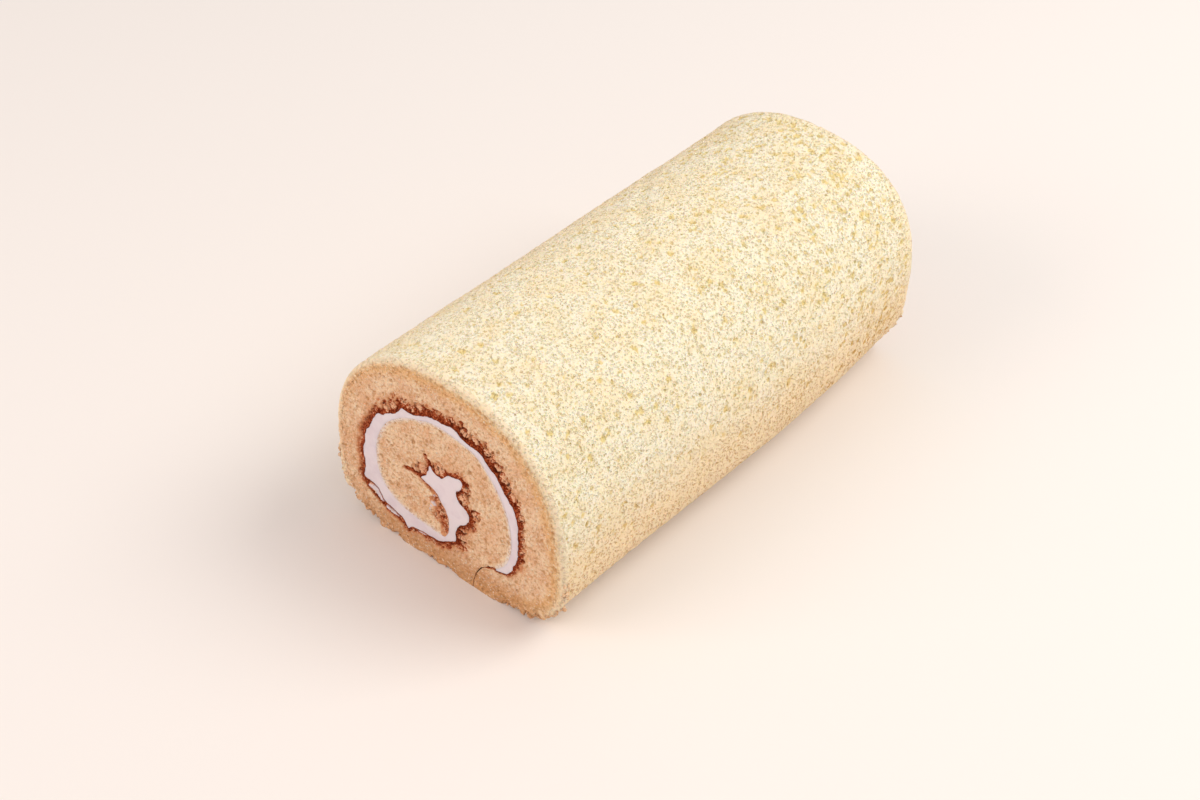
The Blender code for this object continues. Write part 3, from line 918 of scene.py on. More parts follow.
@dataclass
class PoredSkin(RollPiece):
    """The pale outer side of the sheet, which lay on the paper: a skin full of pores, wrapped round the roll.

    It turns over the rounded cut edges and ends in both cut faces, flush with the crumb.
    """

    form: RollForm
    face: CutFace
    thickness: float = 3.0 * MM
    rounding: float = 2.3 * MM
    step: float = 0.73 * MM
    foot_step: float = 3 * MM
    wall_step: float = 4 * MM
    wall_rings: int = 7
    round_rows: int = 7
    fine_pores: int = 13000
    middle_pores: int = 1500
    far_pores: int = 760
    # The pores' least and greatest radii, in millimetres.
    fine_radii: tuple[float, float] = (0.5, 0.85)
    far_radii: tuple[float, float] = (0.7, 1.3)
    deepest_pore: float = 0.8 * MM
    bare_edge: float = 3.4 * MM  # nearer than this to a cut, the skin loses its pores
    crag_reach: float = 2.7 * MM
    crag_top: float = 27 * MM
    bare_top: float = 17 * MM  # below this the skin has crumbled off the cut edges
    # Where the paper creased the skin, in millimetres of X, Y and Z.
    crease: tuple[tuple[float, float, float], ...] = (
        (-34, 46, 66), (-24.9, 32.6, 71.6), (-14.8, 17.7, 76.4), (-0.7, -0.2, 79.3), (9.7, -14.8, 79.3),
        (16.3, -24.3, 78.5), (21.8, -33.3, 77.1),
    )
    crease_depth: float = 0.8 * MM
    crease_width: float = 3.4 * MM

    def rows(self) -> np.ndarray:
        """The rows round the roll, from -Y to +Y, as Y, inset and how far the skin is turned into the cut.

        Returns:
            One row for each Y, from 0 to 1 in the last column where it turns in.
        """
        radius, half = self.rounding, self.form.length / 2
        flat = np.linspace(self.thickness, radius, 3)[:-1]
        into_cut = [(half, inset, 1.0) for inset in flat]
        for angle in np.linspace(0.0, math.pi / 2, self.round_rows):
            share = 1 - angle / (math.pi / 2)
            into_cut.append((half - radius * (1 - math.cos(angle)), radius * (1 - math.sin(angle)), share))
        into_cut = np.array(into_cut)
        count = round(2 * (half - radius) / self.step) + 1
        straight = np.linspace(-half + radius, half - radius, count)[1:-1]
        near = into_cut * [-1.0, 1.0, 1.0]
        middle = np.stack([straight, np.zeros(len(straight)), np.zeros(len(straight))], axis=1)
        return np.vstack([near, middle, into_cut[::-1]])

    def build(self) -> bpy.types.Object:
        """Makes the skin.

        Returns:
            The piece, with its pores and its cut edges stored on its vertices.
        """
        line = self.form.outline(self.step, self.foot_step)
        inward = left_of(line)
        rows = self.rows()
        skin = self.sheet("sponge_skin", len(line), len(rows))
        y, inset, turned = (np.repeat(column, len(line)) for column in rows.T)
        across = np.tile(line, (len(rows), 1)) + np.tile(inward, (len(rows), 1)) * inset[:, None]
        points = np.stack([across[:, 0], y, across[:, 1]], axis=1)
        quarter_turn = turned * math.pi / 2
        side = np.sign(y)
        outer = np.tile(-inward, (len(rows), 1)) * np.cos(quarter_turn)[:, None]
        normals = np.stack([outer[:, 0], side * np.sin(quarter_turn), outer[:, 1]], axis=1)
        points[:, 2] = np.maximum(points[:, 2], 0.0)
        found = self.relief(points, turned, inset)
        shaped = points - normals * found.pop("depth")[:, None]
        shaped[:, 1] = np.clip(shaped[:, 1], -self.form.length / 2, self.form.length / 2)
        shaped[:, 2] = np.maximum(shaped[:, 2], 0.0)
        put(skin, shaped)
        wall = self.inner_wall(line, inward)
        count = len(shaped)
        whole = self.closed(skin, wall, len(line), len(rows))
        put(whole, self.form.bent(places(whole)))
        for name, values in found.items():
            paint(whole, name, np.concatenate([values, np.zeros(len(whole.data.vertices) - count)]))
        smooth_shaded(whole, 75)
        return whole

    def sheet(self, name: str, across: int, along: int) -> bpy.types.Object:
        """A flat grid with a given count of points each way, in rows from -Y to +Y.

        Args:
            name: The object's name.
            across: The points in a row.
            along: The number of rows.

        Returns:
            The grid, still flat.
        """
        bpy.ops.object.select_all(action="DESELECT")
        bpy.ops.mesh.primitive_grid_add(x_subdivisions=across - 1, y_subdivisions=along - 1, size=1.0)
        made = bpy.context.object
        made.name = name
        return made

    def relief(self, points: np.ndarray, turned: np.ndarray, inset: np.ndarray) -> dict[str, np.ndarray]:
        """How deep the skin lies under its smooth form, and what there is to see there.

        Args:
            points: The points of the smooth skin.
            turned: How far it is turned into the cut at each of them, from 0 to 1.
            inset: How far each of them lies inside the roll's outline.

        Returns:
            The depth in metres, below 0 where it stands proud, and pore, pit, skin, rim and the cut's painted
            glow of light from 0 to 1.
        """
        to_end = self.form.length / 2 - np.abs(points[:, 1])
        rim_noise = 0.8 * MM * noise_at(points, 3 * MM, 2, seed=8)
        rim = 1 - smoothstep(0.9 * MM, self.bare_edge, to_end + rim_noise)
        shown = np.nonzero((rim < 0.5) & (points[:, 2] > 0.5 * MM))[0]
        uneven = stirred(points, 0.9 * MM, 1.4 * MM)
        hollow = bowls(uneven, *self.fine(points, shown))
        pit = bowls(uneven, *self.coarse(points, shown))
        swell = 0.12 * MM * (1 + noise_at(points, 14 * MM, 1, seed=2))
        rough = 0.24 * MM * (0.6 + noise_at(points, 1.7 * MM, 3, seed=4)) * (1 - 0.6 * rim)
        depth = np.maximum(hollow, pit) * (1 - rim) + swell * (1 - rim) + np.clip(rough, 0.0, None)
        depth = (depth + self.furrow(points)) * (1 - turned)
        cut_depth, painted_glow = np.zeros(len(points)), np.zeros(len(points))
        pore = np.maximum(hollow, pit) / WHOLE_PORE * (1 - rim)
        for end in CutEnd:
            at_end = (turned > 0) & (points[:, 1] * end.value > 0)
            marks = self.face.marks(points[at_end], end)
            # The cut's painted glow of light goes on where the skin turns into the cut.
            cut_depth[at_end], painted_glow[at_end] = marks["depth"], marks["painted_glow"]
            pore[at_end] = np.maximum(pore[at_end], marks["pore"] * turned[at_end])
        ragged = noise_at(points, 1.6 * MM, 3, seed=14)
        skin = 1 - smoothstep(0.1, 0.95, inset / self.thickness + 0.2 * ragged)
        return {
            "depth": depth + cut_depth * turned - self.crags(points, to_end) * (1 - turned**3),
            "pore": np.clip(pore, 0.0, 1.0),
            "pit": np.clip(pit / WHOLE_PORE, 0.0, 1.0) * (1 - rim),
            "skin": skin * (1 - self.bared(points, to_end, ragged)),
            "rim": rim,
            "painted_glow": painted_glow,
        }

    def crags(self, points: np.ndarray, to_end: np.ndarray) -> np.ndarray:
        """How far torn crumb stands out at each point: low down, and close to a cut.

        Args:
            points: The points of the smooth skin.
            to_end: How far each of them is from the nearer cut.

        Returns:
            The height in metres.
        """
        height = points[:, 2]
        low = np.clip(1 - height / self.crag_top, 0.0, 1.0) ** 0.6 * (height > 0.1 * MM)
        rugged = smoothstep(-0.25, 0.55, noise_at(points, 3.0 * MM, 2, seed=6))
        return rugged * self.crag_reach * low * (1 - smoothstep(0.8 * MM, 2.8 * MM, to_end))

    def bared(self, points: np.ndarray, to_end: np.ndarray, ragged: np.ndarray) -> np.ndarray:
        """How far the skin has crumbled off each point, which it does low down and close to a cut.

        Args:
            points: The points of the smooth skin.
            to_end: How far each of them is from the nearer cut.
            ragged: Noise that breaks up the edges, one value for each point.

        Returns:
            The share that is bare, from 0 to 1.
        """
        low = np.clip(1 - points[:, 2] / self.bare_top, 0.0, 1.0)
        bare = smoothstep(0.2, 0.7, low + 0.3 * ragged)
        return bare * (1 - smoothstep(1.4 * MM, 3.4 * MM, to_end + ragged * MM))

    def furrow(self, points: np.ndarray) -> np.ndarray:
        """How deep the paper's crease lies at each point.

        Args:
            points: The points of the smooth skin.

        Returns:
            The depth in metres.
        """
        bends = np.array(self.crease) * MM
        line = [bends[0]]
        for one, other in zip(bends, bends[1:]):
            line += [one + (other - one) * share for share in np.linspace(0.05, 1.0, 20)]
        line = np.array(line)
        along = np.sin(math.pi * np.arange(len(line)) / (len(line) - 1)) ** 0.5
        return bowls(points, line, np.full(len(line), self.crease_width), self.crease_depth * along)

    def fine(self, points: np.ndarray, shown: np.ndarray) -> tuple[np.ndarray, np.ndarray, np.ndarray]:
        """The small pores: where they are, their radii and their depths.

        Args:
            points: The points of the smooth skin.
            shown: The numbers of those that may have a pore.

        Returns:
            The middles, radii and depths.
        """
        rng = np.random.default_rng(11)
        count = self.fine_pores
        centres = points[rng.choice(shown, count)] + rng.uniform(-0.35, 0.35, (count, 3)) * MM
        radii = rng.uniform(*self.fine_radii, count) * MM
        return centres, radii, radii * rng.uniform(0.35, 0.65, len(radii))

    def coarse(self, points: np.ndarray, shown: np.ndarray) -> tuple[np.ndarray, np.ndarray, np.ndarray]:
        """The larger pores, which lie closer and deeper towards the far end.

        Args:
            points: The points of the smooth skin.
            shown: The numbers of those that may have a pore.

        Returns:
            The middles, radii and depths.
        """
        rng = np.random.default_rng(12)
        far = shown[points[shown, 1] > self.form.length * rng.triangular(0.1, 0.5, 0.5, len(shown))]
        picked = np.concatenate([rng.choice(shown, self.middle_pores), rng.choice(far, self.far_pores)])
        radii = np.concatenate([
            0.85 + 0.7 * rng.random(self.middle_pores) ** 3, rng.uniform(*self.far_radii, self.far_pores),
        ]) * MM
        depths = np.minimum(radii * rng.uniform(0.35, 0.6, len(radii)), self.deepest_pore)
        return points[picked], radii, depths

    def inner_wall(self, line: np.ndarray, inward: np.ndarray) -> bpy.types.Object:
        """The skin's hidden inner side, which has far fewer points than the outer one.

        Args:
            line: The roll's outline.
            inward: The normal into it at each point.

        Returns:
            The wall, a grid of its own.
        """
        back = line + inward * self.thickness
        back[:, 1] = np.maximum(back[:, 1], self.thickness)
        back = resampled(back, self.wall_step)
        half = self.form.length / 2 - self.rounding
        wall = self.sheet("skin_wall", len(back), self.wall_rings)
        rows = [np.insert(back, 1, y, axis=1) for y in np.linspace(-half, half, self.wall_rings)]
        put(wall, np.vstack(rows))
        return wall

    def closed(
        self, skin: bpy.types.Object, wall: bpy.types.Object, across: int, along: int,
    ) -> bpy.types.Object:
        """Joins the skin to its inner wall along its four sides, as one closed body.

        Args:
            skin: The outer side, a grid.
            wall: The inner side, a coarser grid.
            across: How many points the outer grid has round the roll.
            along: How many rows it has.

        Returns:
            The joined piece, whose first vertices are still those of the skin.
        """
        wall_across = len(wall.data.vertices) // self.wall_rings
        only(skin)
        wall.select_set(True)
        bpy.ops.object.join()
        first = across * along
        mesh = bmesh.new()
        mesh.from_mesh(skin.data)
        verts = list(mesh.verts)
        outer = [verts[row * across:(row + 1) * across] for row in range(along)]
        starts = [first + row * wall_across for row in range(self.wall_rings)]
        inner = [verts[start:start + wall_across] for start in starts]
        zip_strip(mesh, outer[0], inner[0])
        zip_strip(mesh, inner[-1], outer[-1])
        zip_strip(mesh, [row[0] for row in inner], [row[0] for row in outer])
        zip_strip(mesh, [row[-1] for row in outer], [row[-1] for row in inner])
        mesh.to_mesh(skin.data)
        mesh.free()
        bpy.ops.object.mode_set(mode="EDIT")
        outwards()
        bpy.ops.object.mode_set(mode="OBJECT")
        return skin


def zip_strip(mesh: bmesh.types.BMesh, one: list, other: list) -> None:
    """Fills between two rows of vertices, which may differ in number, with triangles.

    Args:
        mesh: The mesh that gets the faces.
        one: The vertices of a row, in order.
        other: Those of the row beside it.
    """
    def shares(row: list) -> np.ndarray:
        """How far along its row each vertex is, from 0 to 1."""
        along = arc_lengths(np.array([vert.co for vert in row]))
        return along / along[-1]

    at_one, at_other = shares(one), shares(other)
    i = j = 0
    while i < len(one) - 1 or j < len(other) - 1:
        step_one = j == len(other) - 1 or (i < len(one) - 1 and at_one[i + 1] <= at_other[j + 1])
        if step_one:
            mesh.faces.new((one[i], one[i + 1], other[j]))
            i += 1
        else:
            mesh.faces.new((one[i], other[j + 1], other[j]))
            j += 1


@dataclass
class CreamFilling(RollPiece):
    """The whipped cream: it runs right through the roll, and the knife has smoothed its two ends."""

    slot = Slot.CREAM

    form: RollForm
    step: float = 0.6 * MM
    cell: float = 0.5 * MM
    rings: int = 7
    soft_edge: float = 0.5 * MM
    edge_depth: float = 0.08 * MM
    overlap: float = 0.06 * MM  # it clings to the sponge, so no gap shows between them
    ripple: float = 0.05 * MM
    ripple_size: float = 5 * MM

    def build(self) -> bpy.types.Object:
        """Makes the filling.

        Returns:
            The piece, whose ends are slightly domed between their edges.
        """
        section = self.form.cream_section(self.step, -self.overlap)
        cream = fine_ended("cream_filling", section, self.form.length, self.cell, self.rings)
        points = places(cream)
        to_edge, _ = nearest(resampled(np.vstack([section, section[:1]]), 0.3 * MM), points[:, [0, 2]])
        ripple = self.ripple * (1 + noise_at(points, self.ripple_size, 2, seed=12))
        for end in CutEnd:
            on_end = on_cut(points, end, self.form.length)
            droop = self.edge_depth * (1 - smoothstep(0.0, self.soft_edge, to_edge[on_end]))
            points[on_end, 1] -= end.value * (droop + ripple[on_end])
        put(cream, self.form.bent(points))
        smooth_shaded(cream, 70)
        return cream


@dataclass
class FootCrumbs(RollPiece):
    """The crumbs that the knife dragged off: they cling to the foot of both cuts, as one joined piece."""

    form: RollForm
    scattered: tuple[int, int] = (190, 70)  # at the near end, and at the far one
    sizes: tuple[float, float] = (0.5 * MM, 1.8 * MM)
    foot_top: float = 26 * MM
    # Where larger ones hang together, in millimetres of X and Z.
    clusters: tuple[tuple[float, float], ...] = (
        (-48.2, 21), (-48.6, 14.5), (-47.5, 10.5), (-42.2, 4.2), (-38.0, 1.6), (-25.5, 0.6), (-22.0, 0.6),
        (-9.5, 0.6), (2.0, 0.6), (8.5, 0.7), (33.5, 1.4), (36.5, 2.6), (41.5, 5.5), (43.5, 8.5),
    )
    cluster_size: int = 8
    cluster_sizes: tuple[float, float] = (1.0 * MM, 2.8 * MM)
    far_clusters: int = 9
    fine_size: float = 1.9 * MM  # crumbs of this size and more have four times as many faces
    place_seed: int = 5
    shape_seed: int = 21

    def build(self) -> bpy.types.Object:
        """Makes the crumbs from one knobbly model, each turned and stretched its own way.

        Returns:
            The joined piece.
        """
        rng = random.Random(self.shape_seed)
        rough, fine = self.ball(1), self.ball(2)
        all_points, all_faces, count = [], [], 0
        for number, (place, size) in enumerate(self.spots()):
            ball, faces = fine if size >= self.fine_size else rough
            knobs = 1 + 0.45 * noise_at(ball, 0.45, 2, seed=self.shape_seed + number)
            turn = Matrix.Rotation(rng.uniform(0, math.tau), 3, "Z")
            turn @= Matrix.Rotation(rng.uniform(0, math.tau), 3, "X")
            stretch = np.array([rng.uniform(0.8, 1.3), rng.uniform(0.7, 1.0), rng.uniform(0.7, 1.0)])
            points = (ball * knobs[:, None] * stretch) @ np.array(turn).T * size
            all_points.append(self.form.kept_inside(points + place))
            all_faces.append(faces + count)
            count += len(ball)
        mesh = bpy.data.meshes.new("foot_crumbs")
        mesh.from_pydata(np.vstack(all_points).tolist(), [], np.vstack(all_faces).tolist())
        crumbs = bpy.data.objects.new("foot_crumbs", mesh)
        bpy.context.collection.objects.link(crumbs)
        smooth_shaded(crumbs, 80)
        return crumbs

    def spots(self) -> list[tuple[np.ndarray, float]]:
        """Where each crumb is, and its size.

        Returns:
            A place and a size for each crumb, in metres.
        """
        rng = random.Random(self.place_seed)
        line = self.form.outline(0.7 * MM, 0.7 * MM)
        inward = left_of(line)
        foot = [i for i in range(4, len(line) - 4) if line[i, 1] < self.foot_top]
        found = []
        for end in CutEnd:
            near = end is CutEnd.NEAR
            picked = [(rng.choice(foot), *self.sizes) for _ in range(self.scattered[0 if near else 1])]
            for x, z in self.clusters if near else self.clusters[:self.far_clusters]:
                i = int(np.argmin(np.linalg.norm(line - np.array([x, z]) * MM, axis=1)))
                for _ in range(self.cluster_size):
                    picked.append((i + round(rng.gauss(0, 1.6)), *self.cluster_sizes))
            for i, least, most in picked:
                i = min(max(i, 0), len(line) - 1)
                size = least + (most - least) * rng.random() ** 2.2
                deep = size * 0.5 + rng.uniform(0.0, 1.0) * self.form.edge_round
                out = -size * rng.uniform(0.0, 0.45) + 0.5 * (self.form.edge_round - deep)
                across = line[i] + inward[i] * out
                point = np.array([[across[0], end.value * (self.form.length / 2 - deep), across[1]]])
                place = self.form.bent(point)[0]
                place[2] = max(place[2], size * 0.5)
                found.append((place, size))
        return found

    def ball(self, detail: int) -> tuple[np.ndarray, np.ndarray]:
        """The points and faces of a round model, one unit across, which has more faces the finer it is.

        Args:
            detail: How often its faces are divided, from 1.

        Returns:
            The points, and the faces as numbers of points.
        """
        bpy.ops.object.select_all(action="DESELECT")
        bpy.ops.mesh.primitive_ico_sphere_add(subdivisions=detail, radius=0.5)
        model = bpy.context.object
        points, faces = places(model), np.array([face.vertices[:] for face in model.data.polygons])
        bpy.data.objects.remove(model)
        return points, faces


def linear(hex_colour: str) -> tuple[float, float, float, float]:
    """An sRGB hex colour as the linear colour that shaders take."""
    parts = [int(hex_colour[i:i + 2], 16) / 255 for i in (1, 3, 5)]
    return (*(p / 12.92 if p <= 0.04045 else ((p + 0.055) / 1.055) ** 2.4 for p in parts), 1.0)


def node(tree: bpy.types.NodeTree, kind: str, values: dict, out: int | str = 0) -> bpy.types.NodeSocket:
    """Adds a node with its settings and links.

    Args:
        tree: The node tree that it goes into.
        kind: Its type name after "ShaderNode".
        values: What each of its properties or inputs gets, by name or number. A socket is linked, a hex
            colour is turned to linear, and anything else is set as it is.
        out: The name or number of the output that is wanted.

    Returns:
        That output.
    """
    made = tree.nodes.new("ShaderNode" + kind)
    for name, value in values.items():
        if isinstance(value, bpy.types.NodeSocket):
            tree.links.new(value, made.inputs[name])
        elif isinstance(name, str) and hasattr(made, name):
            setattr(made, name, value)
        else:
            made.inputs[name].default_value = linear(value) if isinstance(value, str) else value
    return made.outputs[out]


def coats(tree: bpy.types.NodeTree, base: str | bpy.types.NodeSocket, over: Iterable) -> bpy.types.NodeSocket:
    """Lays coats of colour over a base, each by its own share.

    Args:
        tree: The node tree that they go into.
        base: The lowest colour.
        over: Pairs of a share and a colour, from the lowest coat up.

    Returns:
        The colour that shows.
    """
    for share, colour in over:
        base = node(tree, "Mix", {"data_type": "RGBA", 0: share, 6: base, 7: colour}, 2)
    return base


def new_material(name: str) -> bpy.types.Material:
    """A new material with a node tree of its own.

    Args:
        name: Its name.

    Returns:
        The material, with Blender's own shader in it.
    """
    made = bpy.data.materials.new(name)
    made.use_nodes = True
    return made


def dress(tree: bpy.types.NodeTree, values: dict) -> None:
    """Sets or links the inputs of a new material's own shader.

    Args:
        tree: The material's node tree.
        values: What each input gets, by its name.
    """
    shader = tree.nodes["Principled BSDF"]
    for name, value in values.items():
        if isinstance(value, bpy.types.NodeSocket):
            tree.links.new(value, shader.inputs[name])
        else:
            shader.inputs[name].default_value = value


def eased(
    low: float, high: float, value: bpy.types.NodeSocket, bottom: float = 0.0, top: float = 1.0,
) -> dict:
    """Settings that ease a value from a bottom at low to a top at high.

    Args:
        low: Where the easing starts.
        high: Where it ends.
        value: The value to ease.
        bottom: What comes out up to low.
        top: What comes out from high on.

    Returns:
        The settings of a map range node.
    """
    return {
        "interpolation_type": "SMOOTHSTEP", "Value": value, "From Min": low, "From Max": high,
        "To Min": bottom, "To Max": top,
    }


def pores(
    tree: bpy.types.NodeTree, at: bpy.types.NodeSocket, spacing: float, radius: float, share: float = 1.0,
    widened: float | bpy.types.NodeSocket = 1.0, least: float = 0.0,
) -> bpy.types.NodeSocket:
    """Pores in baked foam, each of its own size and a little out of round.

    Args:
        tree: The node tree that they go into.
        at: The coordinates, in metres.
        spacing: About how far apart they are.
        radius: How large the largest are.
        share: What the middle of a pore gets.
        widened: What their size is multiplied by.
        least: The smallest one's size as a share of the largest one's.

    Returns:
        The share inside a pore, and 0 beside it.
    """
    wobble = node(tree, "TexNoise", {"Vector": at, "Scale": 1.3 / radius, "Detail": 2.0}, "Color")
    aside = node(tree, "VectorMath", {"operation": "SCALE", 0: wobble, "Scale": 0.9 * radius})
    moved = node(tree, "VectorMath", {"operation": "ADD", 0: at, 1: aside})
    away = node(tree, "TexVoronoi", {"Vector": moved, "Scale": 1 / spacing}, "Distance")
    chance = node(tree, "SeparateColor", {"Color": away.node.outputs["Color"]})
    largest = radius / spacing
    limit = node(tree, "MapRange", {"Value": chance, "To Min": least * largest, "To Max": largest})
    limit = node(tree, "Math", {"operation": "MULTIPLY", 0: limit, 1: widened})
    beyond = node(tree, "Math", {"operation": "SUBTRACT", 0: away, 1: limit})
    return node(tree, "MapRange", eased(-0.1, 0.1, beyond, share, 0.0))


@dataclass(frozen=True)
class CrumbFinish:
    """Knife-cut butter sponge: warm tan foam, dry and matt, whose baked side is a broken red-brown crust."""

    light: str = "#FCDBB8"
    deep: str = "#F1C39C"
    # The pores' own colour, which also paints shade in the hollows, and a painted highlight on the raised
    # crumb.
    pore: str = "#C68F5B"
    painted_crumb_highlight: str = "#FFEED8"
    # Painted light: the glow of the key light through the crumb under the skin, and the lit edge beside it.
    painted_glow: str = "#F1BE82"
    lit_edge: str = "#FBE2B8"
    pale: str = "#F8DCBA"
    smear: str = "#F3E4DE"
    cream: str = "#EBDFE4"
    # Painted shade, darker towards the foot of the cut.
    foot: str = "#D49B6C"
    halo: str = "#D68F62"
    crust_dark: str = "#702408"
    crust_mid: str = "#B35730"
    crust_light: str = "#F6C19B"
    crack: str = "#3C0D03"
    mottle: float = 7 * MM
    grain: float = 0.55 * MM
    lump: float = 1.1 * MM
    # How far apart the pores are, and the largest one's radius.
    fine_pores: tuple[float, float] = (1.1 * MM, 0.33 * MM)
    large_pores: tuple[float, float] = (3.0 * MM, 0.75 * MM)
    foot_shade_levels: tuple[float, float] = (2 * MM, 16 * MM)  # the foot's darker tone fades between these
    relief: float = 0.65 * MM

    def colour(
        self, tree: bpy.types.NodeTree, at: bpy.types.NodeSocket, height: bpy.types.NodeSocket,
    ) -> bpy.types.NodeSocket:
        """The colour of the cut, with its crust where the piece stores browning, and painted light: a glow
        under the skin, shade at the foot, and highlights and shade on the small relief.

        Args:
            tree: The node tree that it goes into.
            at: The coordinates, in metres.
            height: The small relief of the cut, which also paints highlights on the raised crumb and shade in
                its hollows.

        Returns:
            The colour.
        """
        stored = {kind: node(tree, "Attribute", {"attribute_name": kind}, "Fac") for kind in CUT_MARKS}
        mottle = node(tree, "TexNoise", {"Vector": at, "Scale": 1 / self.mottle, "Detail": 3.0})
        grain = node(tree, "TexNoise", {"Vector": at, "Scale": 1 / self.grain, "Detail": 2.0})
        level = node(tree, "SeparateXYZ", {"Vector": at}, "Z")
        crumb = coats(tree, self.deep, (
            (node(tree, "MapRange", eased(0.35, 0.65, mottle)), self.light),
            # Painted light shining through the crumb near the lit skin, then a painted lit edge.
            (node(tree, "MapRange", eased(0.05, 0.45, stored["painted_glow"], 0.0, 0.75)), self.painted_glow),
            (node(tree, "MapRange", eased(0.4, 0.95, stored["painted_glow"], 0.0, 0.85)), self.lit_edge),
            # Painted shade: darker towards the foot of the cut.
            (node(tree, "MapRange", eased(*self.foot_shade_levels, level, 0.75, 0.0)), self.foot),
            (node(tree, "MapRange", eased(0.0, 0.9, stored["pale"], 0.0, 0.85)), self.pale),
            (node(tree, "MapRange", eased(0.5, 0.95, stored["pale"], 0.0, 0.85)), self.smear),
            # Painted highlights on the raised crumb and painted shade in its hollows, from the relief's
            # height.
            (node(tree, "MapRange", eased(0.16, 0.5, height, 0.0, 0.8)), self.painted_crumb_highlight),
            (node(tree, "MapRange", eased(-0.35, 0.1, height, 0.65, 0.0)), self.pore),
            (node(tree, "MapRange", eased(0.1, 1.0, stored["pore"], 0.0, 0.55)), self.pore),
        ))
        lift = node(tree, "Math", {"operation": "MULTIPLY_ADD", 0: grain, 1: 2.2, 2: -1.1})
        lift = node(tree, "Math", {"operation": "ADD", 0: lift, 1: stored["granule"]})
        crust = coats(tree, self.crust_dark, (
            (node(tree, "MapRange", eased(-0.1, 0.4, lift)), self.crust_mid),
            (node(tree, "MapRange", eased(0.4, 0.95, lift)), self.crust_light),
            (stored["crack"], self.crack),
        ))
        return coats(tree, crumb, (
            (node(tree, "MapRange", eased(0.0, 0.5, stored["browning"])), self.halo),
            (node(tree, "MapRange", eased(0.35, 0.85, stored["browning"])), crust),
            (stored["cream"], self.cream),
        ))

    def height(self, tree: bpy.types.NodeTree, at: bpy.types.NodeSocket) -> bpy.types.NodeSocket:
        """The small relief of the cut: rounded crumbs of foam, with pores between them.

        Args:
            tree: The node tree that it goes into.
            at: The coordinates, in metres.

        Returns:
            The height, with 1 as the bump's full distance.
        """
        grain = node(tree, "TexNoise", {"Vector": at, "Scale": 1 / self.grain, "Detail": 3.0})
        lumps = node(tree, "TexVoronoi", {
            "feature": "SMOOTH_F1", "Vector": at, "Scale": 1 / self.lump, "Smoothness": 0.4,
        }, "Distance")
        wide, fine = pores(tree, at, *self.large_pores, 0.5), pores(tree, at, *self.fine_pores, 0.3)
        holes = node(tree, "Math", {"operation": "ADD", 0: fine, 1: wide})
        mound = node(tree, "Math", {"operation": "MULTIPLY_ADD", 0: lumps, 1: -0.9, 2: grain})
        return node(tree, "Math", {"operation": "SUBTRACT", 0: mound, 1: holes})

    def material(self) -> bpy.types.Material:
        """Makes the finish of the cut faces.

        Returns:
            The finish, which the crumb and the crumbs share.
        """
        made = new_material("knife_cut_butter_sponge")
        tree = made.node_tree
        at = node(tree, "TexCoord", {}, "Object")
        height = self.height(tree, at)
        dress(tree, {
            "Base Color": self.colour(tree, at, height),
            "Normal": node(tree, "Bump", {"Strength": 1.0, "Distance": self.relief, "Height": height}),
            "Roughness": 0.8, "IOR": 1.4, "Specular IOR Level": 0.12, "Subsurface Weight": 0.15,
            "Subsurface Radius": (1.0, 0.6, 0.35), "Subsurface Scale": 1.1 * MM,
        })
        return made


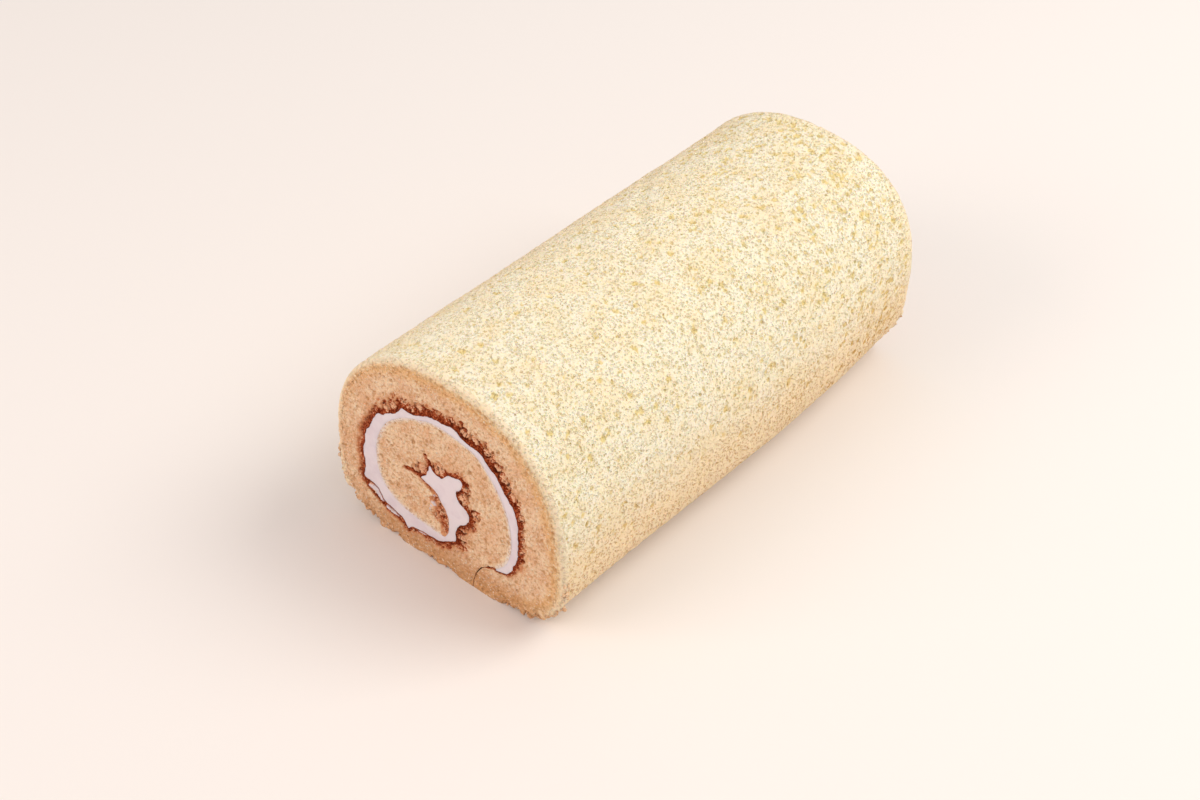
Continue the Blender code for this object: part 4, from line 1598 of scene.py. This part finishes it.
@dataclass(frozen=True)
class SkinFinish:
    """Sponge skin peeled off its baking paper: pale custard yellow and velvety, pricked with tan pores."""

    cut: CrumbFinish
    pale: str = "#FFF7E0"
    warm: str = "#FFF0D0"
    web: str = "#F6E3B0"
    rim: str = "#FBE6C6"
    pinhole: str = "#CFA256"
    pore: str = "#EAD284"
    pit: str = "#E7CD74"
    # Low down the skin has real denser, browner pores and a painted warm reflection from below.
    low_pit: str = "#D39A4B"
    # Painted shade on the -X flank, turned from the key light.
    painted_flank_shade: str = "#FCDDB4"
    foot: str = "#FAD8AE"
    low_pore: str = "#DDA46C"
    mottle: float = 9 * MM
    web_size: float = 0.8 * MM
    grain: float = 0.5 * MM
    # How far apart the holes of each kind are, and the largest one's radius.
    pinholes: tuple[float, float] = (1.3 * MM, 0.24 * MM)
    small_pores: tuple[float, float] = (1.2 * MM, 0.46 * MM)
    pits: tuple[float, float] = (3.0 * MM, 1.1 * MM)
    net: tuple[float, float] = (0.95 * MM, 0.36 * MM)
    # Between which places the pits widen along Y, the low tones fade upwards (real denser, warmer pores with
    # a painted warm reflection from below), and the flank's painted shade fades in X.
    widening: tuple[float, float] = (-60 * MM, 80 * MM)
    low_levels: tuple[float, float] = (10 * MM, 62 * MM)
    painted_flank_shade_places: tuple[float, float] = (-44 * MM, -18 * MM)
    relief: float = 0.45 * MM

    def holes(self, tree: bpy.types.NodeTree, at: bpy.types.NodeSocket) -> dict[str, bpy.types.NodeSocket]:
        """The skin's holes: a close net, pinholes, pores, and pits that widen towards the far end.

        Args:
            tree: The node tree that it goes into.
            at: The coordinates, in metres.

        Returns:
            The share of a hole by the name of its kind.
        """
        along = node(tree, "SeparateXYZ", {"Vector": at}, "Y")
        open_here = node(tree, "MapRange", eased(*self.widening, along, 0.45, 1.0))
        return {
            "pinhole": pores(tree, at, *self.pinholes),
            "pore": pores(tree, at, *self.small_pores),
            "pit": pores(tree, at, *self.pits, widened=open_here),
            "net": pores(tree, at, *self.net, least=0.6),
        }

    def colour(
        self, tree: bpy.types.NodeTree, at: bpy.types.NodeSocket, holes: dict[str, bpy.types.NodeSocket],
    ) -> bpy.types.NodeSocket:
        """The colour of the skin itself, away from the cut edges, with painted shade on the -X flank and a
        painted warm reflection low down.

        Args:
            tree: The node tree that it goes into.
            at: The coordinates, in metres.
            holes: The share of a hole by the name of its kind.

        Returns:
            The colour.
        """
        stored = {
            kind: node(tree, "Attribute", {"attribute_name": kind}, "Fac") for kind in ("pore", "pit", "rim")
        }
        mottle = node(tree, "TexNoise", {"Vector": at, "Scale": 1 / self.mottle, "Detail": 2.0})
        web = node(tree, "TexNoise", {"Vector": at, "Scale": 1 / self.web_size, "Detail": 2.0})
        across = node(tree, "SeparateXYZ", {"Vector": at}, "X")
        # Low down: real denser pores, warmed by a painted reflection from below.
        low = node(tree, "MapRange", eased(*self.low_levels, across.node.outputs["Z"], 1.0, 0.0))
        # Painted shade on the -X flank, turned from the key light.
        painted_flank_shade = node(tree, "MapRange", eased(*self.painted_flank_shade_places, across, 0.8, 0.0))
        hole = coats(tree, self.pore, ((low, self.low_pore),))
        pit = coats(tree, self.pit, ((low, self.low_pit),))
        net_strength = node(tree, "MapRange", eased(0.0, 1.0, low, 0.1, 0.75))
        pit_strength = node(tree, "MapRange", eased(0.0, 1.0, low, 0.6, 0.95))
        strength = {"pinhole": 0.45, "pore": 0.5, "pit": pit_strength, "net": net_strength}
        shares = {
            name: node(tree, "Math", {"operation": "MULTIPLY", 0: hole_at, 1: strength[name]})
            for name, hole_at in holes.items()
        }
        return coats(tree, self.pale, (
            (node(tree, "MapRange", eased(0.38, 0.66, mottle)), self.warm),
            # Painted shade on the -X flank, and a painted warm reflection low down.
            (painted_flank_shade, self.painted_flank_shade),
            (node(tree, "MapRange", eased(0.0, 1.0, low, 0.0, 0.8)), self.foot),
            (node(tree, "MapRange", eased(0.44, 0.62, web, 0.0, 0.35)), self.web),
            (node(tree, "MapRange", eased(0.2, 1.0, stored["pore"], 0.0, 0.35)), self.pore),
            (node(tree, "MapRange", eased(0.35, 1.0, stored["pit"], 0.0, 0.55)), pit),
            (shares["net"], hole),
            (shares["pore"], hole),
            (shares["pit"], pit),
            (shares["pinhole"], self.pinhole),
            (node(tree, "MapRange", eased(0.2, 0.9, stored["rim"], 0.0, 0.75)), self.rim),
        ))

    def material(self) -> bpy.types.Material:
        """Makes the finish of the skin, which goes over into the cut's own at the cut edges.

        Returns:
            The finish.
        """
        made = new_material("peeled_sponge_skin")
        tree = made.node_tree
        at = node(tree, "TexCoord", {}, "Object")
        is_skin = node(tree, "Attribute", {"attribute_name": "skin"}, "Fac")
        grain = node(tree, "TexNoise", {"Vector": at, "Scale": 1 / self.grain, "Detail": 3.0})
        holes = self.holes(tree, at)
        height = grain
        for hole in holes.values():
            height = node(tree, "Math", {"operation": "SUBTRACT", 0: height, 1: hole})
        cut_colour = self.cut.colour(tree, at, self.cut.height(tree, at))
        dress(tree, {
            "Base Color": coats(tree, cut_colour, ((is_skin, self.colour(tree, at, holes)),)),
            "Normal": node(tree, "Bump", {"Strength": 0.9, "Distance": self.relief, "Height": height}),
            "Roughness": 0.8, "IOR": 1.4, "Specular IOR Level": 0.25, "Subsurface Weight": 0.25,
            "Subsurface Radius": (1.0, 0.7, 0.4), "Subsurface Scale": 1.2 * MM,
        })
        return made


@dataclass(frozen=True)
class CreamFinish:
    """Whipped cream: nearly white and close-bubbled, with a soft wet shine where the knife smoothed it."""

    white: str = "#E4D9DE"
    shade: str = "#DCCFD6"
    mottle: float = 4 * MM
    bubble: float = 0.9 * MM
    relief: float = 0.15 * MM

    def material(self) -> bpy.types.Material:
        """Makes the finish of the cream.

        Returns:
            The finish.
        """
        made = new_material("whipped_cream")
        tree = made.node_tree
        at = node(tree, "TexCoord", {}, "Object")
        mottle = node(tree, "TexNoise", {"Vector": at, "Scale": 1 / self.mottle, "Detail": 3.0})
        fine = node(tree, "TexNoise", {"Vector": at, "Scale": 1 / self.bubble, "Detail": 2.0})
        shaded = node(tree, "MapRange", eased(0.4, 0.7, mottle))
        dress(tree, {
            "Base Color": coats(tree, self.white, ((shaded, self.shade),)),
            "Normal": node(tree, "Bump", {"Strength": 0.25, "Distance": self.relief, "Height": fine}),
            "Roughness": 0.42, "IOR": 1.42, "Subsurface Weight": 0.5,
            "Subsurface Radius": (1.0, 0.85, 0.75), "Subsurface Scale": 1.8 * MM,
        })
        return made


@dataclass(frozen=True)
class FloorFinish:
    """Matt paper: pale and plain, so that only the roll shows."""

    colour: str = "#F1EDEB"

    def material(self) -> bpy.types.Material:
        """Makes the finish of the floor.

        Returns:
            The finish.
        """
        made = new_material("matt_paper")
        dress(made.node_tree, {"Base Color": linear(self.colour), "Roughness": 0.9})
        return made


@dataclass(frozen=True)
class SoftLight:
    """A square soft light: where it hangs, how wide it is, and its power and colour."""

    name: str
    place: tuple[float, float, float]
    width: float
    watts: float
    colour: str

    def build(self, aim: Vector) -> None:
        """Hangs the light, turned to a point.

        Args:
            aim: The point that it shines at.
        """
        light = bpy.data.lights.new(self.name, "AREA")
        light.size = self.width
        light.energy = self.watts
        light.color = linear(self.colour)[:3]
        lamp = bpy.data.objects.new(self.name, light)
        lamp.location = self.place
        lamp.rotation_mode = "QUATERNION"
        lamp.rotation_quaternion = (aim - Vector(self.place)).to_track_quat("-Z", "Y")
        bpy.context.collection.objects.link(lamp)


@dataclass(frozen=True)
class Studio:
    """The plain floor, the soft lights and the camera."""

    aim: tuple[float, float, float] = (-0.4 * MM, -18.2 * MM, 24.5 * MM)
    azimuth: float = 41.4
    elevation: float = 41.0
    distance: float = 0.7209
    lens: float = 66.26
    floor_size: float = 6.0
    air_colour: str = "#FFFAF7"
    air_strength: float = 0.60
    lights: tuple[SoftLight, ...] = (
        SoftLight("key", (0.62, 0.50, 0.95), 0.75, 8.6, "#FFF9F0"),
        SoftLight("front_fill", (-0.50, -1.05, 0.75), 0.8, 6.2, "#FFEADD"),
    )

    def build(self) -> None:
        """Sets the whole studio up round the roll."""
        self.make_floor()
        self.make_camera()
        for light in self.lights:
            light.build(Vector(self.aim))
        world = bpy.data.worlds.new("studio_air")
        world.use_nodes = True
        air = world.node_tree.nodes["Background"]
        air.inputs["Color"].default_value = linear(self.air_colour)
        air.inputs["Strength"].default_value = self.air_strength
        scene = bpy.context.scene
        scene.world = world
        scene.view_settings.view_transform = "Standard"

    def make_floor(self) -> None:
        """A pale matt floor, large enough to fill every view."""
        bpy.ops.object.select_all(action="DESELECT")
        bpy.ops.mesh.primitive_plane_add(size=self.floor_size)
        floor = bpy.context.object
        floor.name = "floor"
        floor.data.materials.append(FloorFinish().material())

    def make_camera(self) -> None:
        """The camera, at the photograph's viewing angle."""
        a, e = math.radians(self.azimuth), math.radians(self.elevation)
        back = Vector((math.sin(a) * math.cos(e), -math.cos(a) * math.cos(e), math.sin(e)))
        camera = bpy.data.objects.new("camera", bpy.data.cameras.new("camera"))
        camera.data.lens = self.lens
        camera.location = Vector(self.aim) + back * self.distance
        camera.rotation_mode = "QUATERNION"
        camera.rotation_quaternion = (-back).to_track_quat("-Z", "Y")
        bpy.context.collection.objects.link(camera)
        bpy.context.scene.camera = camera


def main() -> None:
    """Loads the frame, and builds and dresses the roll round it."""
    logging.basicConfig(level=logging.INFO, format="%(name)s: %(message)s")
    noise.seed_set(NOISE_SEED)
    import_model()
    Studio().build()
    form = RollForm()
    form.centre_on(*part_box("cream"))
    low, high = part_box("sponge")
    form.walls = (low.x, high.x)
    face = CutFace(form)
    cut = CrumbFinish()
    crumb_finish = cut.material()
    skin = PoredSkin(form, face)
    skin_piece = skin.dressed(SkinFinish(cut).material())
    crumb_piece = CutCrumb(form, face, skin.thickness + SKIN_CLEARANCE).dressed(crumb_finish)
    filling = CreamFilling(form).dressed(CreamFinish().material())
    FootCrumbs(form).dressed(crumb_finish)
    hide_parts("sponge")
    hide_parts("sponge")
    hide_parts("cream")


if __name__ == "__main__":
    main()
